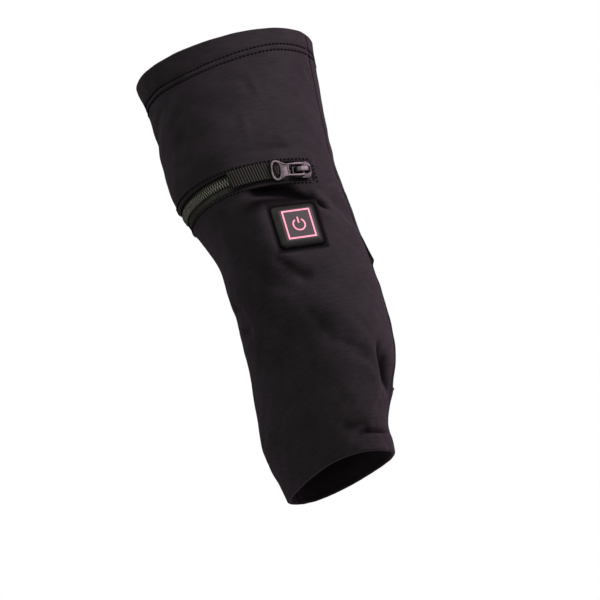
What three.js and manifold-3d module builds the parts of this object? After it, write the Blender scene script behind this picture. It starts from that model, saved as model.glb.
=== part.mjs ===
// Heated wrist sleeve in its worn form: a fingerless stretch-cloth tube with a
// thumb hole, a zipped pocket across the forearm and a soft square push button.
// Millimetres. The origin is the middle of the wrist, +Z runs up the forearm,
// -Y points out of the back of the wrist and +X points to the thumb side.
import * as THREE from 'three';
import { mergeVertices } from 'three/addons/utils/BufferGeometryUtils.js';
import Module from 'manifold-3d';

// The sleeve
const CUFF_REACH = 118; // from the wrist line up to the cuff's rim
const HAND_REACH = 104; // from the wrist line down to the knuckle hem
const SLEEVE_WIDTH = 92.8; // across the cuff, from the thumb side to the other
const SLEEVE_DEPTH = 68; // through the cuff, from back to palm
const CLOTH = 3; // shell, heating layer and lining together
const POCKET_RISE = 9.5; // how far the filled pocket lifts the back of the sleeve
const RIM_TILT = 2.4; // the rim climbs this much to the little-finger side
const HEM_ARCH = 3.2; // the knuckle hem arches up this much over the knuckles
const FOLD_DEPTH = 2.4; // the deepest crease
const CLEARANCE = 0.3; // between two pieces that touch

// The thumb hole, cut from the palm panel at the thumb-side seam
const HOLE_DROP = 8; // its top below the wrist line
const HOLE_LENGTH = 67;
const HOLE_WIDTH = 27; // along the cloth

// The pocket's zip
const ZIP_HEIGHT = 40.1; // the window's middle above the wrist line
const ZIP_CLIMB = 4.2; // how much higher its little-finger end lies
const ZIP_START = -36; // degrees round the sleeve, thumb-side end
const ZIP_END = -172; // degrees, just short of the little-finger seam
const WINDOW_WIDTH = 9.5;
const WINDOW_DEPTH = 1.9;
const TAPE_THICKNESS = 0.7;
const COIL_WIDTH = 3.8;
const COIL_THICKNESS = 1.1;
const COIL_PITCH = 1.5;
const COIL_RISE = 1; // the teeth sit this far above the window's middle line
const RIBBON_WIDTH = 8.4;
const RIBBON_LENGTH = 22.8;
const RIBBON_THICKNESS = 1;
const RIBBON_PITCH = 1.2;
const RIBBON_RISE = 1; // like the teeth that it lies on

// The slider and its pull
const SLIDER_LENGTH = 10.4;
const SLIDER_NOSE_WIDTH = 9; // at the thumb-side end
const SLIDER_TAIL_WIDTH = 7.4;
const SLIDER_END_GAP = 0.8; // from the window's thumb-side end
const SLIDER_PLATE = 0.7;
const SLIDER_FOOT_WIDTH = 6; // the plate behind the tapes
const SLIDER_THROAT = 1.5; // between the tapes' top and the top plate
const CROWN_LENGTH = 9;
const CROWN_WIDTH = 2.7;
const CROWN_WALL = 0.8;
const PIN_DIAMETER = 1.3;
const PULL_LENGTH = 16.4; // from the pin's axis to the free end
const PULL_WIDTH = 10.5; // at the slotted end
const PULL_THICKNESS = 1.2;
const PULL_FORK_LENGTH = 7.1; // the square opening that clears the crown
const PULL_FORK_WIDTH = 4;
const PULL_SLOT_LENGTH = 8;
const PULL_SLOT_WIDTH = 3.8;
const PULL_RIM = 0.9; // metal left round the slot's end
const PULL_GAP = 0.15; // from the ribbon to the resting pull over it

// The push button
const BUTTON_ANGLE = -65.8; // degrees round the sleeve
const BUTTON_HEIGHT = 9.6; // its middle above the wrist line
const BUTTON_TURN = 6.3; // degrees further to the thumb side than the cloth
const BUTTON_LEAN = -1.3; // degrees
const BUTTON_SIZE = 22.3;
const BUTTON_TOP = 16.4;
const BUTTON_THICKNESS = 3.3;
const BUTTON_WALL = 1.2; // height of the upright edge below the bevel
const BUTTON_CORNER = 2.2;
const BUTTON_SINK = 0.5; // how far its foot lies below the cloth
const SEAT_MARGIN = 1.2; // flat cloth left round the button
const SEAT_BLEND = 12; // over which the seat fades into the sleeve

// How fine the facets are
const BACK_COLUMNS = 22;
const PALM_COLUMNS = 18;
const ARM_ROWS = 19;
const HOLE_ROWS = 12;
const KNUCKLE_ROWS = 5;
const ZIP_STEP = 2.5;

// The sleeve's sections. at: share of the reach, + up the arm and - down the
// hand. side, width: shares of half the sleeve's width. back, palm: shares of
// half its depth. turn: degrees about +Z. square: 2 is an ellipse, more is
// squarer.
const SECTIONS = [
  { at: 1.00, side: -0.140, width: 1.000, back: 1.000, palm: 1.000, turn: 0, square: 2.1 },
  { at: 0.90, side: -0.127, width: 0.960, back: 1.015, palm: 1.000, turn: 0, square: 2.1 },
  { at: 0.76, side: -0.146, width: 0.937, back: 1.030, palm: 1.015, turn: 0, square: 2.1 },
  { at: 0.61, side: -0.167, width: 0.919, back: 1.015, palm: 1.000, turn: 0, square: 2.1 },
  { at: 0.475, side: -0.175, width: 0.898, back: 0.985, palm: 0.940, turn: -1, square: 2.2 },
  { at: 0.355, side: -0.132, width: 0.856, back: 0.926, palm: 0.882, turn: -3, square: 2.2 },
  { at: 0.237, side: -0.061, width: 0.813, back: 0.868, palm: 0.824, turn: -4, square: 2.1 },
  { at: 0.12, side: 0.002, width: 0.774, back: 0.824, palm: 0.765, turn: -4, square: 2.1 },
  { at: 0.00, side: 0.026, width: 0.768, back: 0.794, palm: 0.735, turn: -5, square: 2.1 },
  { at: -0.19, side: 0.029, width: 0.798, back: 0.721, palm: 0.765, turn: -11, square: 2.1 },
  { at: -0.385, side: 0.001, width: 0.840, back: 0.632, palm: 0.794, turn: -20, square: 2.3 },
  { at: -0.577, side: -0.057, width: 0.878, back: 0.574, palm: 0.750, turn: -25, square: 2.4 },
  { at: -0.71, side: -0.125, width: 0.881, back: 0.529, palm: 0.647, turn: -28, square: 2.4 },
  { at: -0.827, side: -0.174, width: 0.803, back: 0.500, palm: 0.544, turn: -30, square: 2.4 },
  { at: -0.923, side: -0.160, width: 0.779, back: 0.471, palm: 0.485, turn: -32, square: 2.4 },
  { at: -1.00, side: -0.142, width: 0.754, back: 0.456, palm: 0.456, turn: -33, square: 2.4 },
];

// The ridge that the filled pocket raises along the back. rise: share of the
// pocket's rise. crest: degrees round the sleeve. fade: degrees over which it
// falls away on either side.
const RIDGE = [
  { at: 1.00, rise: 0.00, crest: -88, fade: 38 },
  { at: 0.90, rise: 0.10, crest: -88, fade: 38 },
  { at: 0.76, rise: 0.32, crest: -88, fade: 38 },
  { at: 0.61, rise: 0.53, crest: -88, fade: 38 },
  { at: 0.475, rise: 0.74, crest: -89, fade: 36 },
  { at: 0.355, rise: 0.84, crest: -91, fade: 36 },
  { at: 0.237, rise: 0.95, crest: -97, fade: 36 },
  { at: 0.12, rise: 1.00, crest: -100, fade: 42 },
  { at: 0.00, rise: 1.00, crest: -99, fade: 44 },
  { at: -0.19, rise: 0.72, crest: -92, fade: 46 },
  { at: -0.385, rise: 0.28, crest: -74, fade: 46 },
  { at: -0.577, rise: 0.05, crest: -60, fade: 40 },
  { at: -1.00, rise: 0.00, crest: -60, fade: 40 },
];

// The thumb-side seam, in degrees round the sleeve at each share of the reach.
const SEAM = [
  { at: 1.00, angle: -8 },
  { at: 0.76, angle: -6 },
  { at: 0.45, angle: -1 },
  { at: 0.18, angle: 1 },
  { at: 0.03, angle: 5 },
  { at: -0.08, angle: 11 },
  { at: -0.19, angle: 16 },
  { at: -0.385, angle: 24 },
  { at: -0.577, angle: 27 },
  { at: -1.00, angle: 27 },
];

// Creases pressed into the cloth. at: share of the reach, angle: degrees round
// the sleeve, lean: degrees up from level, length and width: shares of the
// sleeve's width, depth: share of the fold depth, negative for a swelling.
const FOLDS = [
  { at: 0.20, angle: -30, lean: -32, length: 0.24, width: 0.055, depth: 0.95 },
  { at: -0.16, angle: -68, lean: -8, length: 0.18, width: 0.07, depth: 0.45 },
  { at: -0.42, angle: -62, lean: -30, length: 0.30, width: 0.07, depth: 0.5 },
  { at: -0.64, angle: 6, lean: -38, length: 0.13, width: 0.075, depth: 1.0 },
  { at: -0.90, angle: -8, lean: 4, length: 0.26, width: 0.045, depth: 0.45 },
  { at: 0.745, angle: -154, lean: 12, length: 0.16, width: 0.05, depth: 0.6 },
  { at: -0.17, angle: -140, lean: -20, length: 0.2, width: 0.05, depth: 0.55 },
  { at: 0.10, angle: -140, lean: 10, length: 0.2, width: 0.08, depth: 0.4 },
  { at: 0.55, angle: 120, lean: 10, length: 0.4, width: 0.08, depth: 0.5 },
  { at: 0.05, angle: 100, lean: -8, length: 0.4, width: 0.07, depth: 0.8 },
  { at: -0.30, angle: 130, lean: 15, length: 0.3, width: 0.08, depth: 0.5 },
];

// The pull's outline, one half. along: share of its length from the pin's axis
// to the free end. out: share of half its width.
const PULL_OUTLINE = [
  { along: 0.02, out: 0.70 },
  { along: 0.30, out: 0.68 },
  { along: 0.48, out: 0.64 },
  { along: 0.60, out: 0.70 },
  { along: 0.72, out: 0.88 },
  { along: 0.81, out: 1.00 },
  { along: 0.90, out: 0.97 },
  { along: 0.97, out: 0.80 },
  { along: 1.00, out: 0.45 },
];

// The crown's side view. along: share of half its length. up: share of its
// height over the top plate.
const CROWN_OUTLINE = [
  { along: -1.00, up: 0.00 },
  { along: -0.86, up: 0.62 },
  { along: -0.48, up: 1.00 },
  { along: 0.55, up: 1.00 },
  { along: 0.92, up: 0.66 },
  { along: 1.00, up: 0.00 },
];

const wasm = await Module();
wasm.setup();

const rad = THREE.MathUtils.degToRad;
const { lerp, clamp, smoothstep } = THREE.MathUtils;

// A smooth curve through one column of a table, with no overshoot.
function curve(rows, column) {
  const sorted = [...rows].sort((a, b) => a.at - b.at);
  const x = sorted.map((row) => row.at);
  const y = sorted.map((row) => row[column]);
  const rise = x.slice(1).map((end, i) => (y[i + 1] - y[i]) / (end - x[i]));
  const slope = x.map((_, i) => {
    if (i === 0) return rise[0];
    if (i === x.length - 1) return rise[i - 1];
    if (rise[i - 1] * rise[i] <= 0) return 0;
    return (2 * rise[i - 1] * rise[i]) / (rise[i - 1] + rise[i]);
  });
  return (at) => {
    const place = clamp(at, x[0], x[x.length - 1]);
    let i = x.findIndex((end) => end > place) - 1;
    if (i < 0) i = x.length - 2;
    const span = x[i + 1] - x[i];
    const t = (place - x[i]) / span;
    const bend = (slope[i] * (1 - t) - slope[i + 1] * t) * span + (y[i + 1] - y[i]) * (2 * t - 1);
    return lerp(y[i], y[i + 1], t) + t * (1 - t) * bend;
  };
}

// A curve for each column of a table but its first, the place.
function curves(rows) {
  const [, ...columns] = Object.keys(rows[0]);
  return Object.fromEntries(columns.map((column) => [column, curve(rows, column)]));
}

const sectionCurve = curves(SECTIONS);
const ridgeCurve = curves(RIDGE);
const seamCurve = curve(SEAM, 'angle');

const reachShare = (height) => height / (height > 0 ? CUFF_REACH : HAND_REACH);
const heightOf = (at) => at * (at > 0 ? CUFF_REACH : HAND_REACH);
const seamAngle = (height) => seamCurve(reachShare(height));
const wrapDegrees = (angle) => THREE.MathUtils.euclideanModulo(angle + 180, 360) - 180;

// Degrees round the sleeve that span a length of cloth at a height.
function degreesFor(length, height) {
  const halfWidth = (sectionCurve.width(reachShare(height)) * SLEEVE_WIDTH) / 2;
  return THREE.MathUtils.radToDeg(length / halfWidth);
}

// How deep the creases are at a place on the sleeve.
function foldDepth(angle, height) {
  const halfWidth = (sectionCurve.width(reachShare(height)) * SLEEVE_WIDTH) / 2;
  let depth = 0;
  for (const fold of FOLDS) {
    const round = rad(wrapDegrees(angle - fold.angle)) * halfWidth;
    const up = height - heightOf(fold.at);
    const lean = rad(fold.lean);
    const along = round * Math.cos(lean) + up * Math.sin(lean);
    const across = up * Math.cos(lean) - round * Math.sin(lean);
    const fade = (along / (fold.length * SLEEVE_WIDTH)) ** 2 + (across / (fold.width * SLEEVE_WIDTH)) ** 2;
    depth += fold.depth * FOLD_DEPTH * Math.exp(-fade);
  }
  return depth;
}

// The cloth's outer face before the button's seat is pressed in it.
function sleeve(angle, height) {
  const at = reachShare(height);
  const halfWidth = (sectionCurve.width(at) * SLEEVE_WIDTH) / 2;
  const c = Math.cos(rad(angle));
  const s = Math.sin(rad(angle));
  const side = s > 0 ? sectionCurve.palm(at) : sectionCurve.back(at);
  const halfDepth = (side * SLEEVE_DEPTH) / 2;
  const square = sectionCurve.square(at);
  const size = (Math.abs(c) ** square + Math.abs(s) ** square) ** (-1 / square);
  const out = new THREE.Vector2(
    (Math.sign(c) * Math.abs(c) ** (square - 1)) / halfWidth,
    (Math.sign(s) * Math.abs(s) ** (square - 1)) / halfDepth,
  ).normalize();
  const fromCrest = wrapDegrees(angle - ridgeCurve.crest(at)) / ridgeCurve.fade(at);
  const ridge = ridgeCurve.rise(at) * POCKET_RISE * Math.exp(-(fromCrest ** 2));
  const lift = ridge - foldDepth(angle, height);
  const flat = new THREE.Vector2(halfWidth * size * c, halfDepth * size * s).addScaledVector(out, lift);
  flat.rotateAround(new THREE.Vector2(), rad(sectionCurve.turn(at)));
  return new THREE.Vector3(flat.x + (sectionCurve.side(at) * SLEEVE_WIDTH) / 2, flat.y, height);
}

// A frame on a surface: x round the sleeve, y up it, z out of it.
function frameOn(surface, angle, height) {
  const step = 0.2;
  const round = surface(angle + step, height).sub(surface(angle - step, height)).normalize();
  const up = surface(angle, height + step).sub(surface(angle, height - step));
  const out = round.clone().cross(up).normalize();
  const across = out.clone().cross(round);
  return new THREE.Matrix4().makeBasis(round, across, out).setPosition(surface(angle, height));
}

const buttonFrame = frameOn(sleeve, BUTTON_ANGLE, BUTTON_HEIGHT).multiply(
  new THREE.Matrix4().makeRotationFromEuler(new THREE.Euler(rad(BUTTON_LEAN), rad(BUTTON_TURN), 0, 'ZYX')),
);
const buttonFrameInverse = buttonFrame.clone().invert();

// The cloth's outer face, pressed flat where the button sits.
function skin(angle, height) {
  const point = sleeve(angle, height);
  const local = point.clone().applyMatrix4(buttonFrameInverse);
  const seat = BUTTON_SIZE / 2 + SEAT_MARGIN;
  const beyond = Math.hypot(Math.max(Math.abs(local.x) - seat, 0), Math.max(Math.abs(local.y) - seat, 0));
  const behind = smoothstep(-local.z, SLEEVE_DEPTH / 6, SLEEVE_DEPTH / 3);
  local.z *= Math.max(smoothstep(beyond, 0, SEAT_BLEND), behind);
  return local.applyMatrix4(buttonFrame);
}

const lifted = (angle, height, lift) => {
  const frame = frameOn(skin, angle, height);
  return new THREE.Vector3(0, 0, lift).applyMatrix4(frame);
};

// The rim's tilt and the hem's arch move the end rows of the cloth.
function trimmedHeight(angle, height) {
  const rim = smoothstep(height, CUFF_REACH * 0.6, CUFF_REACH);
  const hem = smoothstep(-height, HAND_REACH * 0.75, HAND_REACH);
  const arch = Math.exp(-((wrapDegrees(angle + 68) / 45) ** 2));
  return height - rim * RIM_TILT * Math.cos(rad(angle)) - hem * HEM_ARCH * (0.5 - arch);
}

// Heights of the rows of facets, closer together at the ends of the hole.
function rowHeights() {
  const holeTop = -HOLE_DROP;
  const middle = holeTop - HOLE_LENGTH / 2;
  const rows = [];
  for (let i = 0; i < KNUCKLE_ROWS; i += 1) {
    rows.push(lerp(-HAND_REACH, holeTop - HOLE_LENGTH, i / KNUCKLE_ROWS));
  }
  for (let i = 0; i < HOLE_ROWS; i += 1) {
    rows.push(middle - (HOLE_LENGTH / 2) * Math.cos((Math.PI * i) / HOLE_ROWS));
  }
  for (let i = 0; i <= ARM_ROWS; i += 1) {
    rows.push(lerp(holeTop, CUFF_REACH, i / ARM_ROWS));
  }
  return rows;
}

// How far the hole reaches from the seam into the palm panel, in degrees.
function holeDegrees(height) {
  const fromMiddle = (height + HOLE_DROP + HOLE_LENGTH / 2) / (HOLE_LENGTH / 2);
  const share = Math.sqrt(Math.max(0, 1 - fromMiddle ** 2));
  return degreesFor(HOLE_WIDTH, height) * share;
}

function geometryFrom(points, triangles) {
  const geometry = new THREE.BufferGeometry();
  geometry.setAttribute('position', new THREE.Float32BufferAttribute(points.flatMap((p) => p.toArray()), 3));
  geometry.setIndex(triangles.flat());
  return geometry;
}

// A closed wall of cloth between two edges, given in degrees at each height.
function clothPanel(firstEdge, lastEdge, columns) {
  const heights = rowHeights();
  const outer = [];
  const inner = [];
  for (const height of heights) {
    for (let i = 0; i <= columns; i += 1) {
      const angle = lerp(firstEdge(height), lastEdge(height), i / columns);
      const place = trimmedHeight(angle, height);
      outer.push(lifted(angle, place, 0));
      inner.push(lifted(angle, place, -CLOTH));
    }
  }
  const rows = heights.length - 1;
  const triangles = [];
  const quad = (a, b, c, d) => triangles.push([a, b, c], [a, c, d]);
  const at = (row, column) => row * (columns + 1) + column;
  const under = outer.length;
  for (let row = 0; row < rows; row += 1) {
    for (let i = 0; i < columns; i += 1) {
      quad(at(row, i), at(row, i + 1), at(row + 1, i + 1), at(row + 1, i));
      quad(under + at(row, i + 1), under + at(row, i), under + at(row + 1, i), under + at(row + 1, i + 1));
    }
    quad(at(row, 0), at(row + 1, 0), under + at(row + 1, 0), under + at(row, 0));
    quad(at(row + 1, columns), at(row, columns), under + at(row, columns), under + at(row + 1, columns));
  }
  for (let i = 0; i < columns; i += 1) {
    quad(at(0, i + 1), at(0, i), under + at(0, i), under + at(0, i + 1));
    quad(at(rows, i), at(rows, i + 1), under + at(rows, i + 1), under + at(rows, i));
  }
  return geometryFrom([...outer, ...inner], triangles);
}

// A solid for joining and cutting, from a closed geometry.
function solidOf(geometry) {
  const plain = geometry.clone();
  for (const name of Object.keys(plain.attributes)) {
    if (name !== 'position') plain.deleteAttribute(name);
  }
  const welded = mergeVertices(plain, 1e-4);
  return new wasm.Manifold(
    new wasm.Mesh({
      numProp: 3,
      vertProperties: new Float32Array(welded.attributes.position.array),
      triVerts: new Uint32Array(welded.index.array),
    }),
  );
}

function geometryOf(solid) {
  const mesh = solid.getMesh();
  const geometry = new THREE.BufferGeometry();
  geometry.setAttribute('position', new THREE.Float32BufferAttribute(mesh.vertProperties, 3));
  geometry.setIndex([...mesh.triVerts]);
  return geometry;
}

const joined = (...geometries) => geometryOf(geometries.map(solidOf).reduce((all, next) => all.add(next)));
const cut = (geometry, ...tools) =>
  geometryOf(tools.map(solidOf).reduce((left, tool) => left.subtract(tool), solidOf(geometry)));

// The window's middle line climbs evenly round the sleeve.
const zipHeight = (angle) => ZIP_HEIGHT + ZIP_CLIMB * (0.5 - (angle - ZIP_END) / (ZIP_START - ZIP_END));
const zipSkin = (angle, across) => skin(angle, zipHeight(angle) + across);

// Distances along the zip are measured from the window's thumb-side end.
const zipAngles = (() => {
  const steps = 160;
  const table = [{ angle: ZIP_START, distance: 0 }];
  for (let i = 1; i <= steps; i += 1) {
    const angle = lerp(ZIP_START, ZIP_END, i / steps);
    const last = table[i - 1];
    const stride = zipSkin(angle, 0).distanceTo(zipSkin(last.angle, 0));
    table.push({ angle, distance: last.distance + stride });
  }
  return table;
})();
const windowLength = zipAngles[zipAngles.length - 1].distance;

function zipAngle(distance) {
  const i = clamp(zipAngles.findIndex((entry) => entry.distance >= distance), 1, zipAngles.length - 1);
  const from = zipAngles[i - 1];
  const to = zipAngles[i];
  return lerp(from.angle, to.angle, (distance - from.distance) / (to.distance - from.distance));
}

// A strip laid along the zip. profile(i) lists its [across, lift] corners at
// station i, anticlockwise seen from the thumb-side end.
function strip(stations, profile) {
  const points = [];
  const triangles = [];
  const corners = profile(0).length;
  stations.forEach((distance, i) => {
    const angle = zipAngle(distance);
    for (const [across, lift] of profile(i)) {
      points.push(lifted(angle, zipHeight(angle) + across, lift));
    }
  });
  for (let i = 0; i < stations.length - 1; i += 1) {
    for (let k = 0; k < corners; k += 1) {
      const next = (k + 1) % corners;
      const a = i * corners + k;
      const b = i * corners + next;
      triangles.push([a, b, b + corners], [a, b + corners, a + corners]);
    }
  }
  const last = (stations.length - 1) * corners;
  for (let k = 1; k < corners - 1; k += 1) {
    triangles.push([0, k + 1, k], [last, last + k, last + k + 1]);
  }
  return geometryFrom(points, triangles.map(([a, b, c]) => [a, c, b]));
}

const evenly = (from, to, step) => {
  const count = Math.max(1, Math.round((to - from) / step));
  return Array.from({ length: count + 1 }, (_, i) => lerp(from, to, i / count));
};

const bar = (low, high, bottom, top) => () => [
  [low, bottom],
  [high, bottom],
  [high, top],
  [low, top],
];

// Heights over the cloth's outer face of the layers in the window.
const tapeBottom = -WINDOW_DEPTH + CLEARANCE;
const tapeTop = tapeBottom + TAPE_THICKNESS;
const coilBottom = tapeTop + CLEARANCE;
const coilTop = coilBottom + COIL_THICKNESS;
const ribbonBottom = coilTop + CLEARANCE;
const ribbonTop = ribbonBottom + RIBBON_THICKNESS;
const plateBottom = tapeTop + SLIDER_THROAT;
const plateTop = plateBottom + SLIDER_PLATE;
const sliderPlace = SLIDER_END_GAP + SLIDER_LENGTH / 2;
const sliderTail = SLIDER_END_GAP + SLIDER_LENGTH;
const sliderFrame = frameOn(zipSkin, zipAngle(sliderPlace), 0);
const ribbonStart = sliderPlace + PULL_LENGTH - PULL_SLOT_WIDTH;

// The resting pull leans to the cloth: it passes a clearance over the end of
// the slider's plate and a gap over the ribbon. Gives the tangent of the lean.
function pullSlope() {
  const toSlider = sliderFrame.clone().invert();
  const slopes = [];
  for (const distance of evenly(ribbonStart, sliderPlace + PULL_LENGTH, 1)) {
    const angle = zipAngle(distance);
    for (const side of [-0.5, 0, 0.5]) {
      const across = RIBBON_RISE + side * RIBBON_WIDTH;
      const under = lifted(angle, zipHeight(angle) + across, ribbonTop).applyMatrix4(toSlider);
      const drop = plateTop + CLEARANCE - under.z - PULL_GAP;
      slopes.push(drop / (-under.x - SLIDER_LENGTH / 2));
    }
  }
  return Math.min(...slopes);
}

const pullLean = Math.atan(pullSlope());
const pullDrop = (SLIDER_LENGTH / 2) * Math.abs(Math.tan(pullLean));
const pinHeight = plateTop + CLEARANCE + PULL_THICKNESS / 2 + pullDrop;

const windowCutter = strip(
  evenly(0, windowLength, ZIP_STEP),
  bar(-WINDOW_WIDTH / 2, WINDOW_WIDTH / 2, -WINDOW_DEPTH, 2 * CLOTH),
);

// A flat plate from its outline, lying between two heights.
function plate(shape, bottom, top) {
  const extrusion = { depth: top - bottom, bevelEnabled: false, curveSegments: 8 };
  return new THREE.ExtrudeGeometry(shape, extrusion).translate(0, 0, bottom);
}

// A side view, x along and y up, given a thickness across.
function sideways(shape, thickness) {
  const geometry = new THREE.ExtrudeGeometry(shape, { depth: thickness, bevelEnabled: false });
  return geometry.rotateX(Math.PI / 2).translate(0, thickness / 2, 0);
}

function box(length, width, height, x, y, bottom) {
  return new THREE.BoxGeometry(length, width, height).translate(x, y, bottom + height / 2);
}

function buttonSeatCutter() {
  const outline = roundedSquare(BUTTON_SIZE + 2 * CLEARANCE, BUTTON_CORNER + CLEARANCE);
  const bottom = -BUTTON_SINK - CLEARANCE;
  return plate(outline, bottom, bottom + 3 * CLOTH).applyMatrix4(buttonFrame);
}

function roundedSquare(side, radius) {
  const half = side / 2;
  const shape = new THREE.Shape();
  shape.absarc(half - radius, half - radius, radius, 0, Math.PI / 2);
  shape.absarc(radius - half, half - radius, radius, Math.PI / 2, Math.PI);
  shape.absarc(radius - half, radius - half, radius, Math.PI, 1.5 * Math.PI);
  shape.absarc(half - radius, radius - half, radius, 1.5 * Math.PI, 2 * Math.PI);
  return shape;
}

function backPanel() {
  const seam = (height) => degreesFor(CLEARANCE / 2, height);
  const panel = clothPanel(
    (height) => -180 + seam(height),
    (height) => seamAngle(height) - seam(height),
    BACK_COLUMNS,
  );
  return cut(panel, windowCutter, buttonSeatCutter());
}

function palmPanel() {
  const seam = (height) => degreesFor(CLEARANCE / 2, height);
  return clothPanel(
    (height) => seamAngle(height) + seam(height) + holeDegrees(height),
    (height) => 180 - seam(height),
    PALM_COLUMNS,
  );
}

// The slot that both tapes leave round the plate behind them, open at the
// window's thumb-side end.
function footNotch() {
  const length = SLIDER_LENGTH + SLIDER_END_GAP + CLEARANCE;
  const width = SLIDER_FOOT_WIDTH + 2 * CLEARANCE;
  const middle = (SLIDER_END_GAP - CLEARANCE) / 2;
  return box(length, width, 3 * CLOTH, middle, 0, -2 * CLOTH).applyMatrix4(sliderFrame);
}

function zipTape(side) {
  const inner = COIL_RISE + (side * CLEARANCE) / 2;
  const outer = side * (WINDOW_WIDTH / 2 - CLEARANCE);
  const tape = strip(
    evenly(CLEARANCE, windowLength - CLEARANCE, ZIP_STEP),
    bar(Math.min(inner, outer), Math.max(inner, outer), tapeBottom, tapeTop),
  );
  return cut(tape, footNotch());
}

function zipCoil() {
  const half = COIL_WIDTH / 2;
  return strip(evenly(sliderTail + CLEARANCE, windowLength - 2, COIL_PITCH / 2), (i) => {
    const swell = i % 2 ? 1 : 0.82;
    const shoulder = lerp(coilBottom, coilTop, 0.55 * swell);
    return [
      [COIL_RISE - half * swell, coilBottom],
      [COIL_RISE + half * swell, coilBottom],
      [COIL_RISE + half * swell, shoulder],
      [COIL_RISE + half * 0.5, lerp(coilBottom, coilTop, swell)],
      [COIL_RISE - half * 0.5, lerp(coilBottom, coilTop, swell)],
      [COIL_RISE - half * swell, shoulder],
    ];
  });
}

function zipRibbon() {
  return strip(evenly(ribbonStart, ribbonStart + RIBBON_LENGTH, RIBBON_PITCH / 2), (i) => {
    const top = ribbonBottom + RIBBON_THICKNESS * (i % 2 ? 1 : 0.78);
    return bar(RIBBON_RISE - RIBBON_WIDTH / 2, RIBBON_RISE + RIBBON_WIDTH / 2, ribbonBottom, top)();
  });
}

function crown() {
  const pinTop = pinHeight + PIN_DIAMETER / 2 + CLEARANCE;
  const height = pinTop + CROWN_WALL - plateTop;
  const half = CROWN_LENGTH / 2;
  const corner = (row) => new THREE.Vector2(row.along * half, plateTop + row.up * height);
  const outline = CROWN_OUTLINE.map(corner);
  const overlap = SLIDER_PLATE / 2;
  outline.unshift(new THREE.Vector2(-half, plateTop - overlap));
  outline.push(new THREE.Vector2(half, plateTop - overlap));
  const room = half - 2 * CROWN_WALL;
  const opening = new THREE.Shape([
    new THREE.Vector2(-room, plateTop),
    new THREE.Vector2(room, plateTop),
    new THREE.Vector2(room * 0.7, pinTop),
    new THREE.Vector2(-room * 0.6, pinTop),
  ]);
  return cut(sideways(new THREE.Shape(outline), CROWN_WIDTH), sideways(opening, 2 * CROWN_WIDTH));
}

function zipSlider() {
  const half = SLIDER_LENGTH / 2;
  const nose = SLIDER_NOSE_WIDTH / 2;
  const tail = SLIDER_TAIL_WIDTH / 2;
  const round = 1;
  const shield = new THREE.Shape();
  shield.moveTo(-half, round - tail);
  shield.quadraticCurveTo(-half, -tail, round - half, -tail);
  shield.lineTo(half - round, -nose);
  shield.quadraticCurveTo(half, -nose, half, round - nose);
  shield.lineTo(half, nose - round);
  shield.quadraticCurveTo(half, nose, half - round, nose);
  shield.lineTo(round - half, tail);
  shield.quadraticCurveTo(-half, tail, -half, tail - round);
  const post = box(2.4, 1.6, SLIDER_THROAT + SLIDER_PLATE, half - 2, 0, tapeTop - SLIDER_PLATE / 2);
  return joined(
    plate(shield, plateBottom, plateTop),
    box(SLIDER_LENGTH, SLIDER_FOOT_WIDTH, TAPE_THICKNESS, 0, 0, tapeBottom),
    post,
    crown(),
  );
}

function zipPull() {
  const halfWidth = PULL_WIDTH / 2;
  const fork = PULL_FORK_WIDTH / 2;
  const upper = PULL_OUTLINE.map((row) => new THREE.Vector2(-row.along * PULL_LENGTH, row.out * halfWidth));
  const lower = [...upper].reverse().map((point) => new THREE.Vector2(point.x, -point.y));
  const knuckle = PIN_DIAMETER / 2 + CLEARANCE;
  const shape = new THREE.Shape([
    new THREE.Vector2(knuckle, fork),
    new THREE.Vector2(knuckle, PULL_OUTLINE[0].out * halfWidth - knuckle / 2),
    ...upper,
    ...lower,
    new THREE.Vector2(knuckle, -PULL_OUTLINE[0].out * halfWidth + knuckle / 2),
    new THREE.Vector2(knuckle, -fork),
    new THREE.Vector2(-PULL_FORK_LENGTH, -fork),
    new THREE.Vector2(-PULL_FORK_LENGTH, fork),
  ]);
  const slot = new THREE.Path();
  const slotMiddle = PULL_RIM + PULL_SLOT_WIDTH / 2 - PULL_LENGTH;
  slot.absellipse(slotMiddle, 0, PULL_SLOT_WIDTH / 2, PULL_SLOT_LENGTH / 2, 0, 2 * Math.PI, true);
  shape.holes.push(slot);
  const pin = new THREE.CylinderGeometry(PIN_DIAMETER / 2, PIN_DIAMETER / 2, PULL_FORK_WIDTH + 1, 16);
  return joined(plate(shape, -PULL_THICKNESS / 2, PULL_THICKNESS / 2), pin);
}

// Closed skin through rings of points that all have the same count.
function loft(rings) {
  const count = rings[0].length;
  const triangles = [];
  for (let i = 0; i < rings.length - 1; i += 1) {
    for (let k = 0; k < count; k += 1) {
      const a = i * count + k;
      const b = i * count + ((k + 1) % count);
      triangles.push([a, b, b + count], [a, b + count, a + count]);
    }
  }
  const last = (rings.length - 1) * count;
  for (let k = 1; k < count - 1; k += 1) {
    triangles.push([0, k + 1, k], [last, last + k, last + k + 1]);
  }
  return geometryFrom(rings.flat(), triangles);
}

function button() {
  const ring = (side, radius, height) =>
    roundedSquare(side, radius).getPoints(4).slice(0, -1).map((p) => new THREE.Vector3(p.x, p.y, height));
  const top = BUTTON_THICKNESS - BUTTON_SINK;
  const edge = 0.25;
  return loft([
    ring(BUTTON_SIZE, BUTTON_CORNER, -BUTTON_SINK),
    ring(BUTTON_SIZE, BUTTON_CORNER, BUTTON_WALL - BUTTON_SINK - edge),
    ring(BUTTON_SIZE - 2 * edge, BUTTON_CORNER, BUTTON_WALL - BUTTON_SINK),
    ring(BUTTON_TOP + 2 * edge, BUTTON_CORNER * 0.8, top - edge),
    ring(BUTTON_TOP, BUTTON_CORNER * 0.7, top),
  ]);
}

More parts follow.
